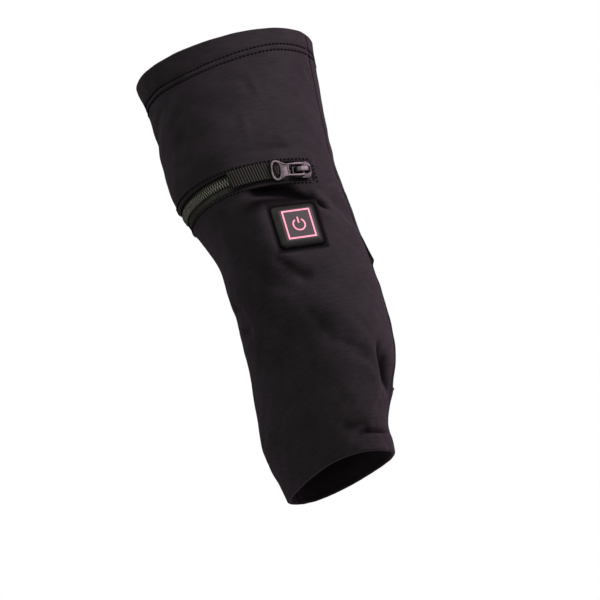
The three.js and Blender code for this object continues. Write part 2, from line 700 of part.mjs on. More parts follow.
const finish = {
  cloth: { color: 0x1d1b20, roughness: 0.85, metalness: 0 },
  tape: { color: 0x23251f, roughness: 0.9, metalness: 0 },
  teeth: { color: 0x1a1b17, roughness: 0.55, metalness: 0 },
  ribbon: { color: 0x1e1f1a, roughness: 0.8, metalness: 0 },
  metal: { color: 0x6f6a6c, roughness: 0.3, metalness: 1 },
  silicone: { color: 0x201f1d, roughness: 0.6, metalness: 0 },
};

function piece(name, geometry, look) {
  const welded = mergeVertices(geometry.deleteAttribute('normal').deleteAttribute('uv'), 1e-5);
  const flat = welded.toNonIndexed();
  flat.computeVertexNormals();
  const mesh = new THREE.Mesh(flat, new THREE.MeshStandardMaterial(look));
  mesh.name = name;
  return mesh;
}

// A hard piece made about its own origin and placed by a frame.
function placed(name, geometry, look, frame) {
  const mesh = piece(name, geometry, look);
  frame.decompose(mesh.position, mesh.quaternion, mesh.scale);
  return mesh;
}

const pinFrame = sliderFrame
  .clone()
  .multiply(new THREE.Matrix4().makeTranslation(0, 0, pinHeight))
  .multiply(new THREE.Matrix4().makeRotationY(-pullLean));

const sleevePart = new THREE.Group();
sleevePart.name = 'heated_glove';
sleevePart.add(
  piece('back_panel', backPanel(), finish.cloth),
  piece('palm_panel', palmPanel(), finish.cloth),
  piece('zip_tape_upper', zipTape(1), finish.tape),
  piece('zip_tape_lower', zipTape(-1), finish.tape),
  piece('zip_coil', zipCoil(), finish.teeth),
  piece('zip_ribbon', zipRibbon(), finish.ribbon),
  placed('zip_slider', zipSlider(), finish.metal, sliderFrame),
  placed('zip_pull', zipPull(), finish.metal, pinFrame),
  placed('button', button(), finish.silicone, buttonFrame),
);

export default sleevePart;
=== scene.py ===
import math

import bmesh
import bpy
import numpy as np
from mathutils import Matrix, Vector

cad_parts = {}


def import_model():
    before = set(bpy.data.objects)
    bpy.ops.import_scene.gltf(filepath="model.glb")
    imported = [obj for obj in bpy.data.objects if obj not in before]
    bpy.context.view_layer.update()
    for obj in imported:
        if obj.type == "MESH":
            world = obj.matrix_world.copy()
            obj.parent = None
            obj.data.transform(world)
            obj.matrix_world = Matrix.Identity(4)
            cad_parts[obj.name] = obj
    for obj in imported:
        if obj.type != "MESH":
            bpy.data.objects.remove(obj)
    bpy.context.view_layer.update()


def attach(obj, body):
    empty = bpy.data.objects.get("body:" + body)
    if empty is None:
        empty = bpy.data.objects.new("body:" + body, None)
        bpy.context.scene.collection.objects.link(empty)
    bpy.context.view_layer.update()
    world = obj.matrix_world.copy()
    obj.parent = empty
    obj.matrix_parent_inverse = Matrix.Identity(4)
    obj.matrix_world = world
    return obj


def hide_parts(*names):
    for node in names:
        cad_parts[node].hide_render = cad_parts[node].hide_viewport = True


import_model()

MM = 0.001

CUFF_REACH = 118.0
HAND_REACH = 104.0
SLEEVE_WIDTH = 92.8
SLEEVE_DEPTH = 68.0
CLOTH = 3.0
POCKET_RISE = 9.5
RIM_TILT = 2.4
HEM_ARCH = 3.2
FOLD_DEPTH = 2.4
HOLE_DROP = 8.0
HOLE_LENGTH = 67.0
HOLE_WIDTH = 27.0
ZIP_HEIGHT = 40.1
ZIP_CLIMB = 4.2
ZIP_START = -36.0
ZIP_END = -172.0
WINDOW_WIDTH = 9.5
WINDOW_DEPTH = 1.9
TEETH_RISE = 1.0
TEETH_WIDTH = 3.8
RIBBON_WIDTH = 8.4
RIBBON_LENGTH = 22.8
SLIDER_END_GAP = 0.8
SLIDER_LENGTH = 10.4
PULL_LENGTH = 16.4
PULL_WIDTH = 10.5
BUTTON_SIZE = 22.3
BUTTON_TOP = 16.4
SEAT_MARGIN = 1.2
SEAT_BLEND = 12.0
HALF_WINDOW = WINDOW_WIDTH / 2
SEAM_GAP = 0.12
RIM_RADIUS = 1.1
RIM_THINNING = 1.1
LIP_RADIUS = 0.9
WELT_WIDTH = 3.0
CUFF_ROWS_APART = 3.2
STITCH_PITCH = 2.0
STITCH_LENGTH = 0.72
THREAD_RADIUS = 0.5
COIL_PITCH = 0.74
COIL_RADIUS = 0.27
RIB_PITCH = 1.25
RIBBON_UNDER_PULL = 3.8
HEIGHT_STEP = 0.5

# Places of the small hard pieces, as the solids have them: the middle on the cloth,
# the direction along and the direction up. The third points out of the cloth.
BUTTON_PLACE = ((14.7284, -31.4124, 9.6), (0.81717, 0.57639, -0.00218), (-0.02267, 0.03592, 0.9991))
SLIDER_PLACE = ((22.3922, -25.3345, 38.286), (0.7453, 0.66514, -0.04606), (0.14278, -0.09174, 0.98549))
PIN_HEIGHT = 2.653
PULL_DROOP = 4.98


def place_matrix(place):
    middle, along, up = (np.array(v, float) for v in place)
    out = np.cross(along, up)
    matrix = np.eye(4)
    for column, axis in enumerate((along, up, out)):
        matrix[:3, column] = axis / np.linalg.norm(axis)
    matrix[:3, 3] = middle
    return matrix


def moved(points, matrix):
    return np.asarray(points) @ matrix[:3, :3].T + matrix[:3, 3]


BUTTON_FRAME = place_matrix(BUTTON_PLACE)
SLIDER_FRAME = place_matrix(SLIDER_PLACE)

# Sections from the cuff down: height as a share of its reach, place to the side, width,
# depth of the back and of the palm as shares, turn in degrees and squareness.
SECTIONS = np.array([
    (1.00, -0.140, 1.000, 1.000, 1.000, 0, 2.1),
    (0.90, -0.127, 0.960, 1.015, 1.000, 0, 2.1),
    (0.76, -0.146, 0.937, 1.030, 1.015, 0, 2.1),
    (0.61, -0.167, 0.919, 1.015, 1.000, 0, 2.1),
    (0.475, -0.175, 0.898, 0.985, 0.940, -1, 2.2),
    (0.355, -0.132, 0.856, 0.926, 0.882, -3, 2.2),
    (0.237, -0.061, 0.813, 0.868, 0.824, -4, 2.1),
    (0.12, 0.002, 0.774, 0.824, 0.765, -4, 2.1),
    (0.00, 0.026, 0.768, 0.794, 0.735, -5, 2.1),
    (-0.19, 0.029, 0.798, 0.721, 0.765, -11, 2.1),
    (-0.385, 0.001, 0.840, 0.632, 0.794, -20, 2.3),
    (-0.577, -0.057, 0.878, 0.574, 0.750, -25, 2.4),
    (-0.71, -0.125, 0.881, 0.529, 0.647, -28, 2.4),
    (-0.827, -0.174, 0.803, 0.500, 0.544, -30, 2.4),
    (-0.923, -0.160, 0.779, 0.471, 0.485, -32, 2.4),
    (-1.00, -0.142, 0.754, 0.456, 0.456, -33, 2.4),
])
# The pocket's ridge: height, rise, angle of the crest, degrees in which it fades.
RIDGE = np.array([
    (1.00, 0.00, -88, 38),
    (0.90, 0.10, -88, 38),
    (0.76, 0.32, -88, 38),
    (0.61, 0.53, -88, 38),
    (0.475, 0.74, -89, 36),
    (0.355, 0.84, -91, 36),
    (0.237, 0.95, -97, 36),
    (0.12, 1.00, -100, 42),
    (0.00, 1.00, -99, 44),
    (-0.19, 0.72, -92, 46),
    (-0.385, 0.28, -74, 46),
    (-0.577, 0.05, -60, 40),
    (-1.00, 0.00, -60, 40),
])
# The thumb-side seam: height, angle.
SEAM = np.array([
    (1.00, -8), (0.76, -6), (0.45, -1), (0.18, 1), (0.03, 5), (-0.08, 11),
    (-0.19, 16), (-0.385, 24), (-0.577, 27), (-1.00, 27),
])
# Large folds: height, angle, lean, then length, width and depth as shares.
FOLDS = [
    (0.20, -30, -32, 0.24, 0.055, 0.95),
    (-0.16, -68, -8, 0.18, 0.07, 0.45),
    (-0.42, -62, -30, 0.30, 0.07, 0.5),
    (-0.64, 6, -38, 0.13, 0.075, 1.0),
    (-0.90, -8, 4, 0.26, 0.045, 0.45),
    (0.745, -154, 12, 0.16, 0.05, 0.6),
    (-0.17, -140, -20, 0.2, 0.05, 0.55),
    (0.10, -140, 10, 0.2, 0.08, 0.4),
    (0.55, 120, 10, 0.4, 0.08, 0.5),
    (0.05, 100, -8, 0.4, 0.07, 0.8),
    (-0.30, 130, 15, 0.3, 0.08, 0.5),
]
# Small creases and drag lines, from one end to the other: angle, height, angle,
# height, then width and depth in mm. A negative depth is a ridge.
CREASES = [
    (-88, 35.0, -56, 28.0, 3.6, 0.8), (-88, 33.8, -50, 27.6, 4.8, 2.5),
    (-60, 28.4, -30, 17.5, 3.4, 2.6), (-92, -2.0, -62, -18, 2.8, 1.3),
    (-96, -10, -70, -24, 3.0, 0.3), (-73, -27, -53, -48, 3.2, 0.8),
    (-54, -48, -13, -64, 2.2, 0.8), (-46, -55, -9, -69, 1.8, 0.7),
    (-40, -38, -16, -50, 2.4, 0.35), (-12, -51, 10, -78, 4.4, 1.8),
    (2, -57, 19, -79, 3.6, 1.6), (-46, -97.5, -30, -94.6, 1.8, 0.8),
    (-56, -89.5, -14, -91.5, 3.4, 1.1), (-38, -94.4, 22, -95.6, 1.4, 1.9),
    (-38, 80.5, -30, 76, 2.4, 0.55), (-41, 61.5, -32, 57, 2.4, 0.5),
    (-24, 70, -12, 62, 2.2, 0.35), (-88, 92.0, -66, 91, 3.0, 0.6),
    (-70, 93, -66, 84, 2.4, 0.45), (-64, 90, -61, 79, 1.8, -0.5),
    (-74, 76, -73, 56, 1.7, -0.45), (-92, 53.4, -40, 51.6, 2.0, 0.5),
    (-40, 51.6, -24, 48, 1.8, 0.3), (-118, 84, -96, 88, 3.0, 0.35),
    (-128, 74, -104, 68, 3.2, 0.35), (-136, 62, -112, 58, 3.0, 0.35),
    (-146, 92, -128, 95, 2.4, 0.45), (-156, 100, -140, 97, 2.0, 0.5),
    (-140, 22, -108, 26, 3.2, 0.4), (-132, 6, -104, 2, 3.2, 0.4),
    (-142, -11, -124, -17, 2.4, 0.9), (-140, -23, -120, -27, 2.4, 0.9),
    (-120, -44, -92, -50, 3.4, 0.35), (-112, -68, -84, -66, 3.2, 0.3),
    (-100, -84, -66, -80, 3.2, 0.3), (-60, -84, -34, -78, 3.0, 0.3),
    (-30, 2, -8, -8, 2.2, 0.35), (-24, 30, -6, 34, 2.2, 0.35),
    (-30, -16, -6, -28, 2.6, 0.35), (-18, 96, -10, 88, 2.0, 0.4),
    (40, 92, 84, 86, 3.6, 0.5), (96, 74, 150, 82, 4.0, 0.6),
    (40, 50, 90, 42, 4.0, 0.6), (104, 30, 160, 24, 3.6, 0.6),
    (36, 16, 80, 22, 3.4, 0.6), (70, -2, 150, -8, 3.0, 1.0),
    (50, -14, 100, -20, 3.4, 0.7), (96, -40, 146, -30, 3.6, 0.6),
    (80, -62, 130, -56, 3.6, 0.5), (60, -86, 120, -82, 3.4, 0.5),
]

HEIGHTS = np.arange(-HAND_REACH - 14, CUFF_REACH + 12, HEIGHT_STEP)


def share_of(height):
    return np.where(height > 0, height / CUFF_REACH, height / HAND_REACH)


def zip_height(angle):
    """The zip's middle line, which climbs evenly to the little-finger side."""
    return ZIP_HEIGHT + ZIP_CLIMB * (0.5 - (angle - ZIP_END) / (ZIP_START - ZIP_END))


def column(rows, k, blur=3.0):
    """A smooth curve through one column of a table, by height."""
    rows = rows[np.argsort(rows[:, 0])]
    x, y = rows[:, 0], rows[:, k]
    rise = np.diff(y) / np.diff(x)
    slope = np.zeros(len(x))
    slope[0], slope[-1] = rise[0], rise[-1]
    same = rise[:-1] * rise[1:] > 0
    slope[1:-1][same] = (2 * rise[:-1] * rise[1:] / np.where(same, rise[:-1] + rise[1:], 1))[same]
    at = np.clip(share_of(HEIGHTS), x[0], x[-1])
    i = np.clip(np.searchsorted(x, at, side="right") - 1, 0, len(x) - 2)
    span = x[i + 1] - x[i]
    t = (at - x[i]) / span
    bend = (slope[i] * (1 - t) - slope[i + 1] * t) * span + (y[i + 1] - y[i]) * (2 * t - 1)
    value = y[i] + (y[i + 1] - y[i]) * t + t * (1 - t) * bend
    reach = int(blur * 6)
    weights = np.exp(-0.5 * (np.arange(-reach, reach + 1) * HEIGHT_STEP / blur) ** 2)
    value = np.convolve(np.pad(value, reach, mode="edge"), weights / weights.sum(), "valid")
    return lambda height: np.interp(height, HEIGHTS, value)


SIDE, WIDTH, BACK, PALM, TURN, SQUARE = (column(SECTIONS, k) for k in range(1, 7))
RISE, CREST, FADE = (column(RIDGE, k) for k in range(1, 4))
seam_angle = column(SEAM, 1)


def wrap(angle):
    return np.mod(angle + 180.0, 360.0) - 180.0


def smoothstep(x, low, high):
    t = np.clip((x - low) / (high - low), 0, 1)
    return t * t * (3 - 2 * t)


def plateau(x, low, full, fading, high):
    """Rises to 1 and falls again."""
    return smoothstep(x, low, full) * (1 - smoothstep(x, fading, high))


def hump(x, middle, width):
    return np.exp(-(((x - middle) / width) ** 2))


def half_width(height):
    return WIDTH(height) * SLEEVE_WIDTH / 2


def degrees_for(length, height):
    return np.degrees(length / half_width(height))


def length_for(degrees, height):
    return np.radians(degrees) * half_width(height)


def fold(angle, height, place, middle, lean, length, width):
    around = length_for(wrap(angle - middle), height)
    up = height - place
    c, s = math.cos(math.radians(lean)), math.sin(math.radians(lean))
    along, across = around * c + up * s, up * c - around * s
    return np.exp(-((along / length) ** 2) - (across / width) ** 2)


def fold_depth(angle, height):
    depth = 0
    for at, middle, lean, length, width, amount in FOLDS:
        place = at * (CUFF_REACH if at > 0 else HAND_REACH)
        size = length * SLEEVE_WIDTH, width * SLEEVE_WIDTH
        depth = depth + amount * FOLD_DEPTH * fold(angle, height, place, middle, lean, *size)
    return depth


def small_creases(angle, height):
    """Valleys of the cloth, each with a low swelling below it."""
    depth = 0
    for first, low, last, high, width, amount in CREASES:
        reach_x = length_for((last - first) / 2, (low + high) / 2)
        reach_y = (high - low) / 2
        reach = math.hypot(reach_x, reach_y)
        around = length_for(wrap(angle - (first + last) / 2), height)
        up = height - (low + high) / 2
        along = (around * reach_x + up * reach_y) / reach
        across = (up * reach_x - around * reach_y) / reach / width
        fade = hump(np.maximum(np.abs(along) / reach - 0.45, 0), 0, 0.4)
        profile = hump(across, 0, 1) - 0.25 * hump(across, -2.1, 1.3)
        depth = depth + amount * profile * fade
    return depth


def pocket_outline(angle, height):
    """The low step that the pocket bag's edges raise in the cloth."""
    edge = -65.0 - 11.0 * np.clip((95.0 - height) / 41.0, 0, 1)
    upright = plateau(height, 50, 58, 90, 104)
    step = 0.45 * (np.tanh((edge - angle) / 4.0) + 1) / 2 * upright
    fade = np.exp(-((wrap(angle + 100) / 42.0) ** 4))
    low = plateau(angle, -84, -72, -48, -34)
    level = 0.35 * hump(height, 52.5, 2.2) * low
    return step * fade - level


def sleeve(angle, height):
    """The cloth's outer face before the button's seat is pressed in it."""
    wide = half_width(height)
    c, s = np.cos(np.radians(angle)), np.sin(np.radians(angle))
    deep = np.where(s > 0, PALM(height), BACK(height)) * SLEEVE_DEPTH / 2
    n = SQUARE(height)
    size = (np.abs(c) ** n + np.abs(s) ** n) ** (-1 / n)
    nx = np.sign(c) * np.abs(c) ** (n - 1) / wide
    ny = np.sign(s) * np.abs(s) ** (n - 1) / deep
    norm = np.hypot(nx, ny)
    crest = wrap(angle - CREST(height)) / FADE(height)
    lift = RISE(height) * POCKET_RISE * hump(crest, 0, 1)
    lift = lift - fold_depth(angle, height)
    x = wide * size * c + lift * nx / norm
    y = deep * size * s + lift * ny / norm
    turn = np.radians(TURN(height))
    flat_x = x * np.cos(turn) - y * np.sin(turn)
    flat_y = x * np.sin(turn) + y * np.cos(turn)
    side = SIDE(height) * SLEEVE_WIDTH / 2
    return np.stack([flat_x + side, flat_y, np.broadcast_to(height, flat_x.shape)], -1)


# Cloth this far under the button's face is the sleeve's other side.
OTHER_SIDE = -9


def beyond_seat(points):
    """Places in the button's own frame, and how far each lies outside its seat."""
    local = moved(points, np.linalg.inv(BUTTON_FRAME))
    past = np.maximum(np.abs(local[..., :2]) - BUTTON_SIZE / 2 - SEAT_MARGIN, 0)
    return local, np.hypot(past[..., 0], past[..., 1])


def skin(angle, height):
    """The cloth's outer face, pressed flat where the button sits."""
    angle, height = np.broadcast_arrays(np.asarray(angle, float), np.asarray(height, float))
    local, beyond = beyond_seat(sleeve(angle, height))
    behind = smoothstep(-local[..., 2], SLEEVE_DEPTH / 6, SLEEVE_DEPTH / 3)
    local[..., 2] *= np.maximum(smoothstep(beyond, 0, SEAT_BLEND), behind)
    return moved(local, BUTTON_FRAME)


def outward(angle, height, step=0.25):
    """The direction out of the cloth."""
    around = skin(angle + step, height) - skin(angle - step, height)
    up = skin(angle, height + step) - skin(angle, height - step)
    out = np.cross(around, up)
    return out / np.linalg.norm(out, axis=-1, keepdims=True)


def lifted(angle, height, lift):
    return skin(angle, height) + outward(angle, height) * np.asarray(lift)[..., None]


def trimmed(angle, height):
    """The rim's tilt and the hem's arch move the end rows of the cloth."""
    rim = smoothstep(height, CUFF_REACH * 0.6, CUFF_REACH)
    hem = smoothstep(-height, HAND_REACH * 0.75, HAND_REACH)
    arch = hump(wrap(angle + 68), 0, 45)
    return height - rim * RIM_TILT * np.cos(np.radians(angle)) - hem * HEM_ARCH * (0.5 - arch)


def along_zip(angle, height):
    """Slants the rows of the mesh so that they run along the zip's lips."""
    shift = zip_height(np.clip(angle, ZIP_END, ZIP_START)) - ZIP_HEIGHT
    away = np.abs(height - ZIP_HEIGHT)
    on_back = smoothstep(-angle, 0.0, 30.0) * smoothstep(angle, -180.0, -174.0)
    return height + shift * (1 - smoothstep(away, 12.0, 40.0)) * on_back


def collection_link(obj):
    bpy.context.scene.collection.objects.link(obj)
    return obj


def add_mesh(name, points, faces, material, uv=None, shade=None):
    mesh = bpy.data.meshes.new(name)
    mesh.from_pydata((np.asarray(points, float) * MM).tolist(), [], faces)
    mesh.polygons.foreach_set("use_smooth", np.full(len(mesh.polygons), True))
    if uv is not None:
        layer = mesh.uv_layers.new(name="UVMap")
        corners = np.zeros(len(mesh.loops), np.int32)
        mesh.loops.foreach_get("vertex_index", corners)
        layer.data.foreach_set("uv", np.asarray(uv, np.float32)[corners].ravel())
    # The shade attribute holds painted shade, from 0 to 1, which the materials darken by.
    if shade is not None:
        depth = mesh.attributes.new("shade", "FLOAT", "POINT")
        depth.data.foreach_set("value", np.asarray(shade, np.float32).ravel())
    mesh.materials.append(material)
    mesh.update()
    return collection_link(bpy.data.objects.new(name, mesh))


def quads(rows, columns, start=0, flip=False, closed=False):
    """Faces of a grid of points, row by row."""
    last = columns if closed else columns - 1
    r, c = np.meshgrid(np.arange(rows - 1), np.arange(last), indexing="ij")
    a = start + r * columns + c
    b = start + r * columns + (c + 1) % columns
    made = np.stack([a, b, b + columns, a + columns], -1).reshape(-1, 4)
    return (made[:, ::-1] if flip else made).tolist()


def tube_faces(rings, sides, start=0, flip=False):
    """Faces of a tube of closed rings, shut at both ends."""
    end = start + (rings - 1) * sides
    caps = range(start, start + sides)[::-1], range(end, end + sides)
    shut = [tuple(cap[::-1] if flip else cap) for cap in caps]
    return quads(rings, sides, start, flip, closed=True) + shut


def rounding(distance, radius):
    """How far a rolled edge has dropped at a distance from the edge."""
    inside = np.clip(1 - distance / radius, 0, 1)
    return radius * (1 - np.sqrt(np.clip(1 - inside ** 2, 0, 1)))


EDGE_STEPS = np.array([0.0, 0.04, 0.14, 0.32, 0.58, 0.95, 1.4, 1.9, 2.4, 2.8, 3.2, 3.6, 4.2, 5.0])
COARSE = 1.0
INNER_SHADE = 0.3

# Waves of the cloth: how many round the sleeve, their climb and their start, in radians.
WAVES = [
    (7, 0.42, 0.3), (9, -0.31, 2.1), (12, 0.2, 4.0), (14, -0.5, 5.2),
    (17, 0.36, 1.1), (19, -0.16, 3.3), (22, 0.55, 0.9), (26, -0.4, 2.7),
]
WAVE_DEPTH = 0.04


def undulation(angle, height):
    """The cloth's slight unevenness."""
    turn = np.radians(angle)
    return sum(WAVE_DEPTH * np.cos(k * turn + climb * height + start) for k, climb, start in WAVES)


def detail(angle, height):
    """Creases and the pocket's outline, kept off the button."""
    local, beyond = beyond_seat(skin(angle, height))
    off_button = np.maximum(smoothstep(beyond, 0.0, 2.5), local[..., 2] < OTHER_SIDE)
    window = np.maximum(np.abs(height - zip_height(angle)) - HALF_WINDOW, angle - ZIP_START)
    off_zip = smoothstep(window, 0.3, 1.8)
    soft = pocket_outline(angle, height) - small_creases(angle, height) + undulation(angle, height)
    return soft * off_button * off_zip


def button_shade(angle, height):
    """The shade of the fold over the button, and of the button's own edge."""
    local, beyond = beyond_seat(skin(angle, height))
    near = 0.75 * (1 - smoothstep(beyond, 0.0, 1.1)) * (local[..., 2] > OTHER_SIDE)
    over = plateau(angle, -98, -84, -44, -36)
    return np.maximum(near, 0.84 * over * hump(height, 24.6, 3.4))


def zip_lift(angle, height):
    """The zip's window, sunk in the cloth between rolled lips."""
    beyond = np.abs(height - zip_height(angle)) - HALF_WINDOW
    ends = np.maximum(length_for(angle - ZIP_START, height), length_for(ZIP_END - angle, height))
    outside = np.maximum(beyond, ends)
    lip = -rounding(np.maximum(outside, 0), LIP_RADIUS)
    puff = 0.35 * hump(outside, 1.6, 1.5)
    drop = -WINDOW_DEPTH * (1 - smoothstep(outside, -0.25, 0.0))
    return np.where(outside < LIP_RADIUS, np.minimum(lip, drop), 0) + np.where(outside > 0, puff, 0)


# The upper row of stitches round the cuff: angle, height.
CUFF_ROW = np.array([
    (-180, 107.6), (-127, 106.4), (-112, 105.2), (-94.5, 104.8), (-67, 105.9), (-44, 107.0),
    (-23, 106.6), (0, 106.2), (60, 105.0), (120, 106.4), (180, 107.6),
])


def cuff_row(angle, k):
    return np.interp(angle, CUFF_ROW[:, 0], CUFF_ROW[:, 1]) - k * CUFF_ROWS_APART


def cuff_lift(angle, height):
    """The dents of both rows, the swelling between them and the thicker hem above."""
    upper, between, lower = (height - cuff_row(wrap(angle), k) for k in (0, 0.5, 1))
    dents = 0.28 * (hump(upper, 0, 0.7) + hump(lower, 0, 0.7))
    return 0.16 * hump(between, 0, 0.9) + 0.35 * smoothstep(upper, 0.4, 3.5) - dents


def hem_lift(height):
    """The turned-up knuckle hem is a little thicker than the cloth above it."""
    return 0.25 * (1 - smoothstep(height, -HAND_REACH + 6.0, -HAND_REACH + 9.0))


def row_heights(step, fine):
    ends = [EDGE_STEPS - HAND_REACH, CUFF_REACH - EDGE_STEPS]
    low, high = -HAND_REACH + EDGE_STEPS[-1], CUFF_REACH - EDGE_STEPS[-1]
    body = np.linspace(low, high, int(round((high - low) / step / COARSE)) + 1)
    rows = np.unique(np.round(np.concatenate([*ends, body, *fine]), 3))
    kept = [rows[0]]
    for row in rows[1:]:
        if row - kept[-1] > 0.035:
            kept.append(row)
    return np.array(kept)


def in_hole(height):
    return plateau(-height, HOLE_DROP - 3, HOLE_DROP + 3, 76, 84)


def edge_welt(distance, height):
    """The turned edge along the thumb hole and the seams, with the dent of its stitches."""
    hole = in_hole(height)
    welt = 0.3 * (1 - smoothstep(distance, 2.2, 2.9)) - 0.35 * hump(distance, WELT_WIDTH, 0.42)
    return welt * hole - 0.12 * hump(distance, 2.4, 0.4) * (1 - hole)


def hole_radius(height):
    """The edges are rounder along the thumb hole."""
    return 0.7 + 0.4 * plateau(-height, HOLE_DROP - 1, HOLE_DROP + 4, 70, 76)


def cloth_shade(angle, height, soft, pressed, from_side, from_end, hole):
    """Painted shade for the cloth's material, from 0 to 1: in creases, over and round the button, in the
    stitch dents and the zip window, along the panels' edges and in the welt's groove.
    """
    valley = 0.94 * (1 - hump(np.maximum(-soft - 0.2, 0), 0, 1.2))
    recess_shade = smoothstep(-pressed, 0.1, 0.5)
    edge = 0.75 * (1 - smoothstep(from_side, 0.2, 0.9)) * (1 - hole) * (from_end > 1.5)
    groove = 0.55 * hump(from_side, WELT_WIDTH, 0.5) * hole
    return np.maximum.reduce([valley, button_shade(angle, height), recess_shade, edge, groove])


def cloth_shell(name, first, last, columns, heights, relief):
    """A closed wall of cloth between two edges, with rolled edges all round."""
    heights = heights[:, None]
    near = degrees_for(EDGE_STEPS[None, :], heights)
    start, end = first(heights), last(heights)
    low, high = start + near[:, -1:], end - near[:, -1:]
    middle = low + (high - low) * np.linspace(0, 1, int(columns / COARSE))[None, 1:-1]
    angle = np.concatenate([start + near, middle, (end - near)[:, ::-1]], 1)
    width = length_for(angle - start, heights)
    from_side = np.minimum(width, length_for(end - angle, heights))
    from_end = np.minimum(CUFF_REACH - heights, heights + HAND_REACH) + 0 * angle
    drop = np.maximum(rounding(from_side, hole_radius(heights)), rounding(from_end, RIM_RADIUS))
    place = along_zip(angle, trimmed(angle, heights))
    face, out = skin(angle, place), outward(angle, place)
    soft = detail(angle, place)
    pressed = relief(angle, place)
    rise = pressed + soft + edge_welt(from_side, heights) - drop
    thin = RIM_THINNING * (1 - smoothstep(from_end, 1.0, 9.0))
    sunk = -CLOTH + thin + 0.8 * np.minimum(soft, 0.3) + np.minimum(drop, 0.9)
    layers = [(face + out * lift[..., None]).reshape(-1, 3) for lift in (rise, sunk)]
    rows, cols = angle.shape
    under = rows * cols
    faces = quads(rows, cols) + quads(rows, cols, under, flip=True)
    ring = [(r, 0) for r in range(rows - 1, 0, -1)] + [(0, c) for c in range(cols - 1)]
    ring += [(r, cols - 1) for r in range(rows - 1)] + [(rows - 1, c) for c in range(cols - 1, 0, -1)]
    index = [r * cols + c for r, c in ring]
    for a, b in zip(index, index[1:] + index[:1]):
        faces.append((b, a, a + under, b + under))
    uv = np.stack([width / 100, heights / 100 + 2 + 0 * angle], -1).reshape(-1, 2)
    hole = in_hole(heights) + 0 * angle
    shade = cloth_shade(angle, place, soft, pressed, from_side, from_end, hole)
    # The inner face gets an even painted shade.
    shade = np.concatenate([shade, np.full(shade.shape, INNER_SHADE)])
    return add_mesh(name, np.concatenate(layers), faces, CLOTH_LOOK, np.concatenate([uv, uv]), shade)


# Materials

class Look:
    """A material in the making. A value is a number, a colour or a node's output."""

    def __init__(self, name):
        self.material = bpy.data.materials.new(name)
        self.material.use_nodes = True
        self.nodes = self.material.node_tree.nodes
        self.shader = self.nodes["Principled BSDF"]
        place = self.nodes.new("ShaderNodeTexCoord")
        self.solid = place.outputs["Object"]
        self.weave = place.outputs["UV"]

    def feed(self, socket, value):
        if isinstance(value, bpy.types.NodeSocket):
            self.material.node_tree.links.new(value, socket)
        else:
            socket.default_value = value

    def surface(self, name, value):
        self.feed(self.shader.inputs[name], value)

    def node(self, kind, **values):
        """A new node; to_min names its input To Min."""
        made = self.nodes.new("ShaderNode" + kind)
        for name, value in values.items():
            self.feed(made.inputs[name.replace("_", " ").title()], value)
        return made

    def noise(self, vector, **values):
        return self.node("TexNoise", vector=vector, **values).outputs["Fac"]

    def bands(self, direction, **values):
        """Threads of the weave, one beside the other in a direction."""
        wave = self.node("TexWave", vector=self.weave, **values)
        wave.wave_type = "BANDS"
        wave.bands_direction = direction
        return wave.outputs["Fac"]

    def math(self, operation, *values):
        made = self.nodes.new("ShaderNodeMath")
        made.operation = operation
        for socket, value in zip(made.inputs, values):
            self.feed(socket, value)
        return made.outputs[0]

    def ranged(self, name, source, low, high):
        """A property of the surface that follows a source."""
        made = self.node("MapRange", value=source, to_min=low, to_max=high)
        self.surface(name, made.outputs["Result"])

    def bump(self, height, strength, distance):
        made = self.node("Bump", height=height, strength=strength, distance=distance)
        self.surface("Normal", made.outputs["Normal"])

    def coloured(self, source, stops, colours, depth=0.08):
        """A colour between two, darkened towards depth by the painted shade that the mesh's shade
        attribute holds.
        """
        ramp = self.node("ValToRGB", fac=source)
        for element, stop, colour in zip(ramp.color_ramp.elements, stops, colours):
            element.position = stop
            element.color = (*colour, 1)
        shade = self.node("Attribute")
        shade.attribute_name = "shade"
        mix = self.node("Mix")
        mix.data_type = "RGBA"
        mix.blend_type = "MULTIPLY"
        mix.inputs[7].default_value = (depth, depth, depth, 1)
        self.feed(mix.inputs[0], shade.outputs["Fac"])
        self.feed(mix.inputs[6], ramp.outputs["Color"])
        self.surface("Base Color", mix.outputs[2])
        return shade.outputs["Fac"]


def cloth_material():
    look = Look("stretch_cloth")
    look.surface("Sheen Roughness", 0.45)
    look.surface("Sheen Tint", (1.0, 0.74, 0.93, 1))
    mottle = look.noise(look.solid, scale=60, detail=8, roughness=0.62)
    stretched = look.node("Mapping", vector=look.weave, scale=(14, 120, 1)).outputs["Vector"]
    streaks = look.noise(stretched, scale=1.0, detail=3)
    mixed = look.math("MULTIPLY_ADD", streaks, 0.45, look.math("MULTIPLY", mottle, 0.55))
    colours = (0.0072, 0.0062, 0.0068), (0.0172, 0.0146, 0.0162)
    shade = look.coloured(mixed, (0.36, 0.64), colours, depth=0.05)
    # Under painted shade the cloth also loses its sheen and gloss.
    look.ranged("Sheen Weight", shade, 0.10, 0.004)
    look.ranged("Specular IOR Level", shade, 0.10, 0.004)
    around = look.bands("X", scale=55, distortion=0.6, detail=1)
    along = look.bands("Y", scale=55, distortion=0.6)
    fuzz = look.noise(look.solid, scale=900, detail=3)
    threads = look.math("ADD", look.math("MULTIPLY", around, along), fuzz)
    look.bump(threads, strength=0.6, distance=0.00025)
    look.ranged("Roughness", mottle, 0.55, 0.72)
    return look.material


def woven_material(name, dark, light, scale, bump):
    look = Look(name)
    look.surface("Specular IOR Level", 0.2)
    wave = look.bands("Y", scale=scale, distortion=0.8, detail=2)
    noise = look.noise(look.solid, scale=600, detail=4)
    threads = look.math("MULTIPLY", wave, noise)
    look.coloured(threads, (0.1, 0.6), (dark, light))
    look.bump(threads, strength=0.6, distance=bump)
    look.ranged("Roughness", noise, 0.5, 0.8)
    return look.material


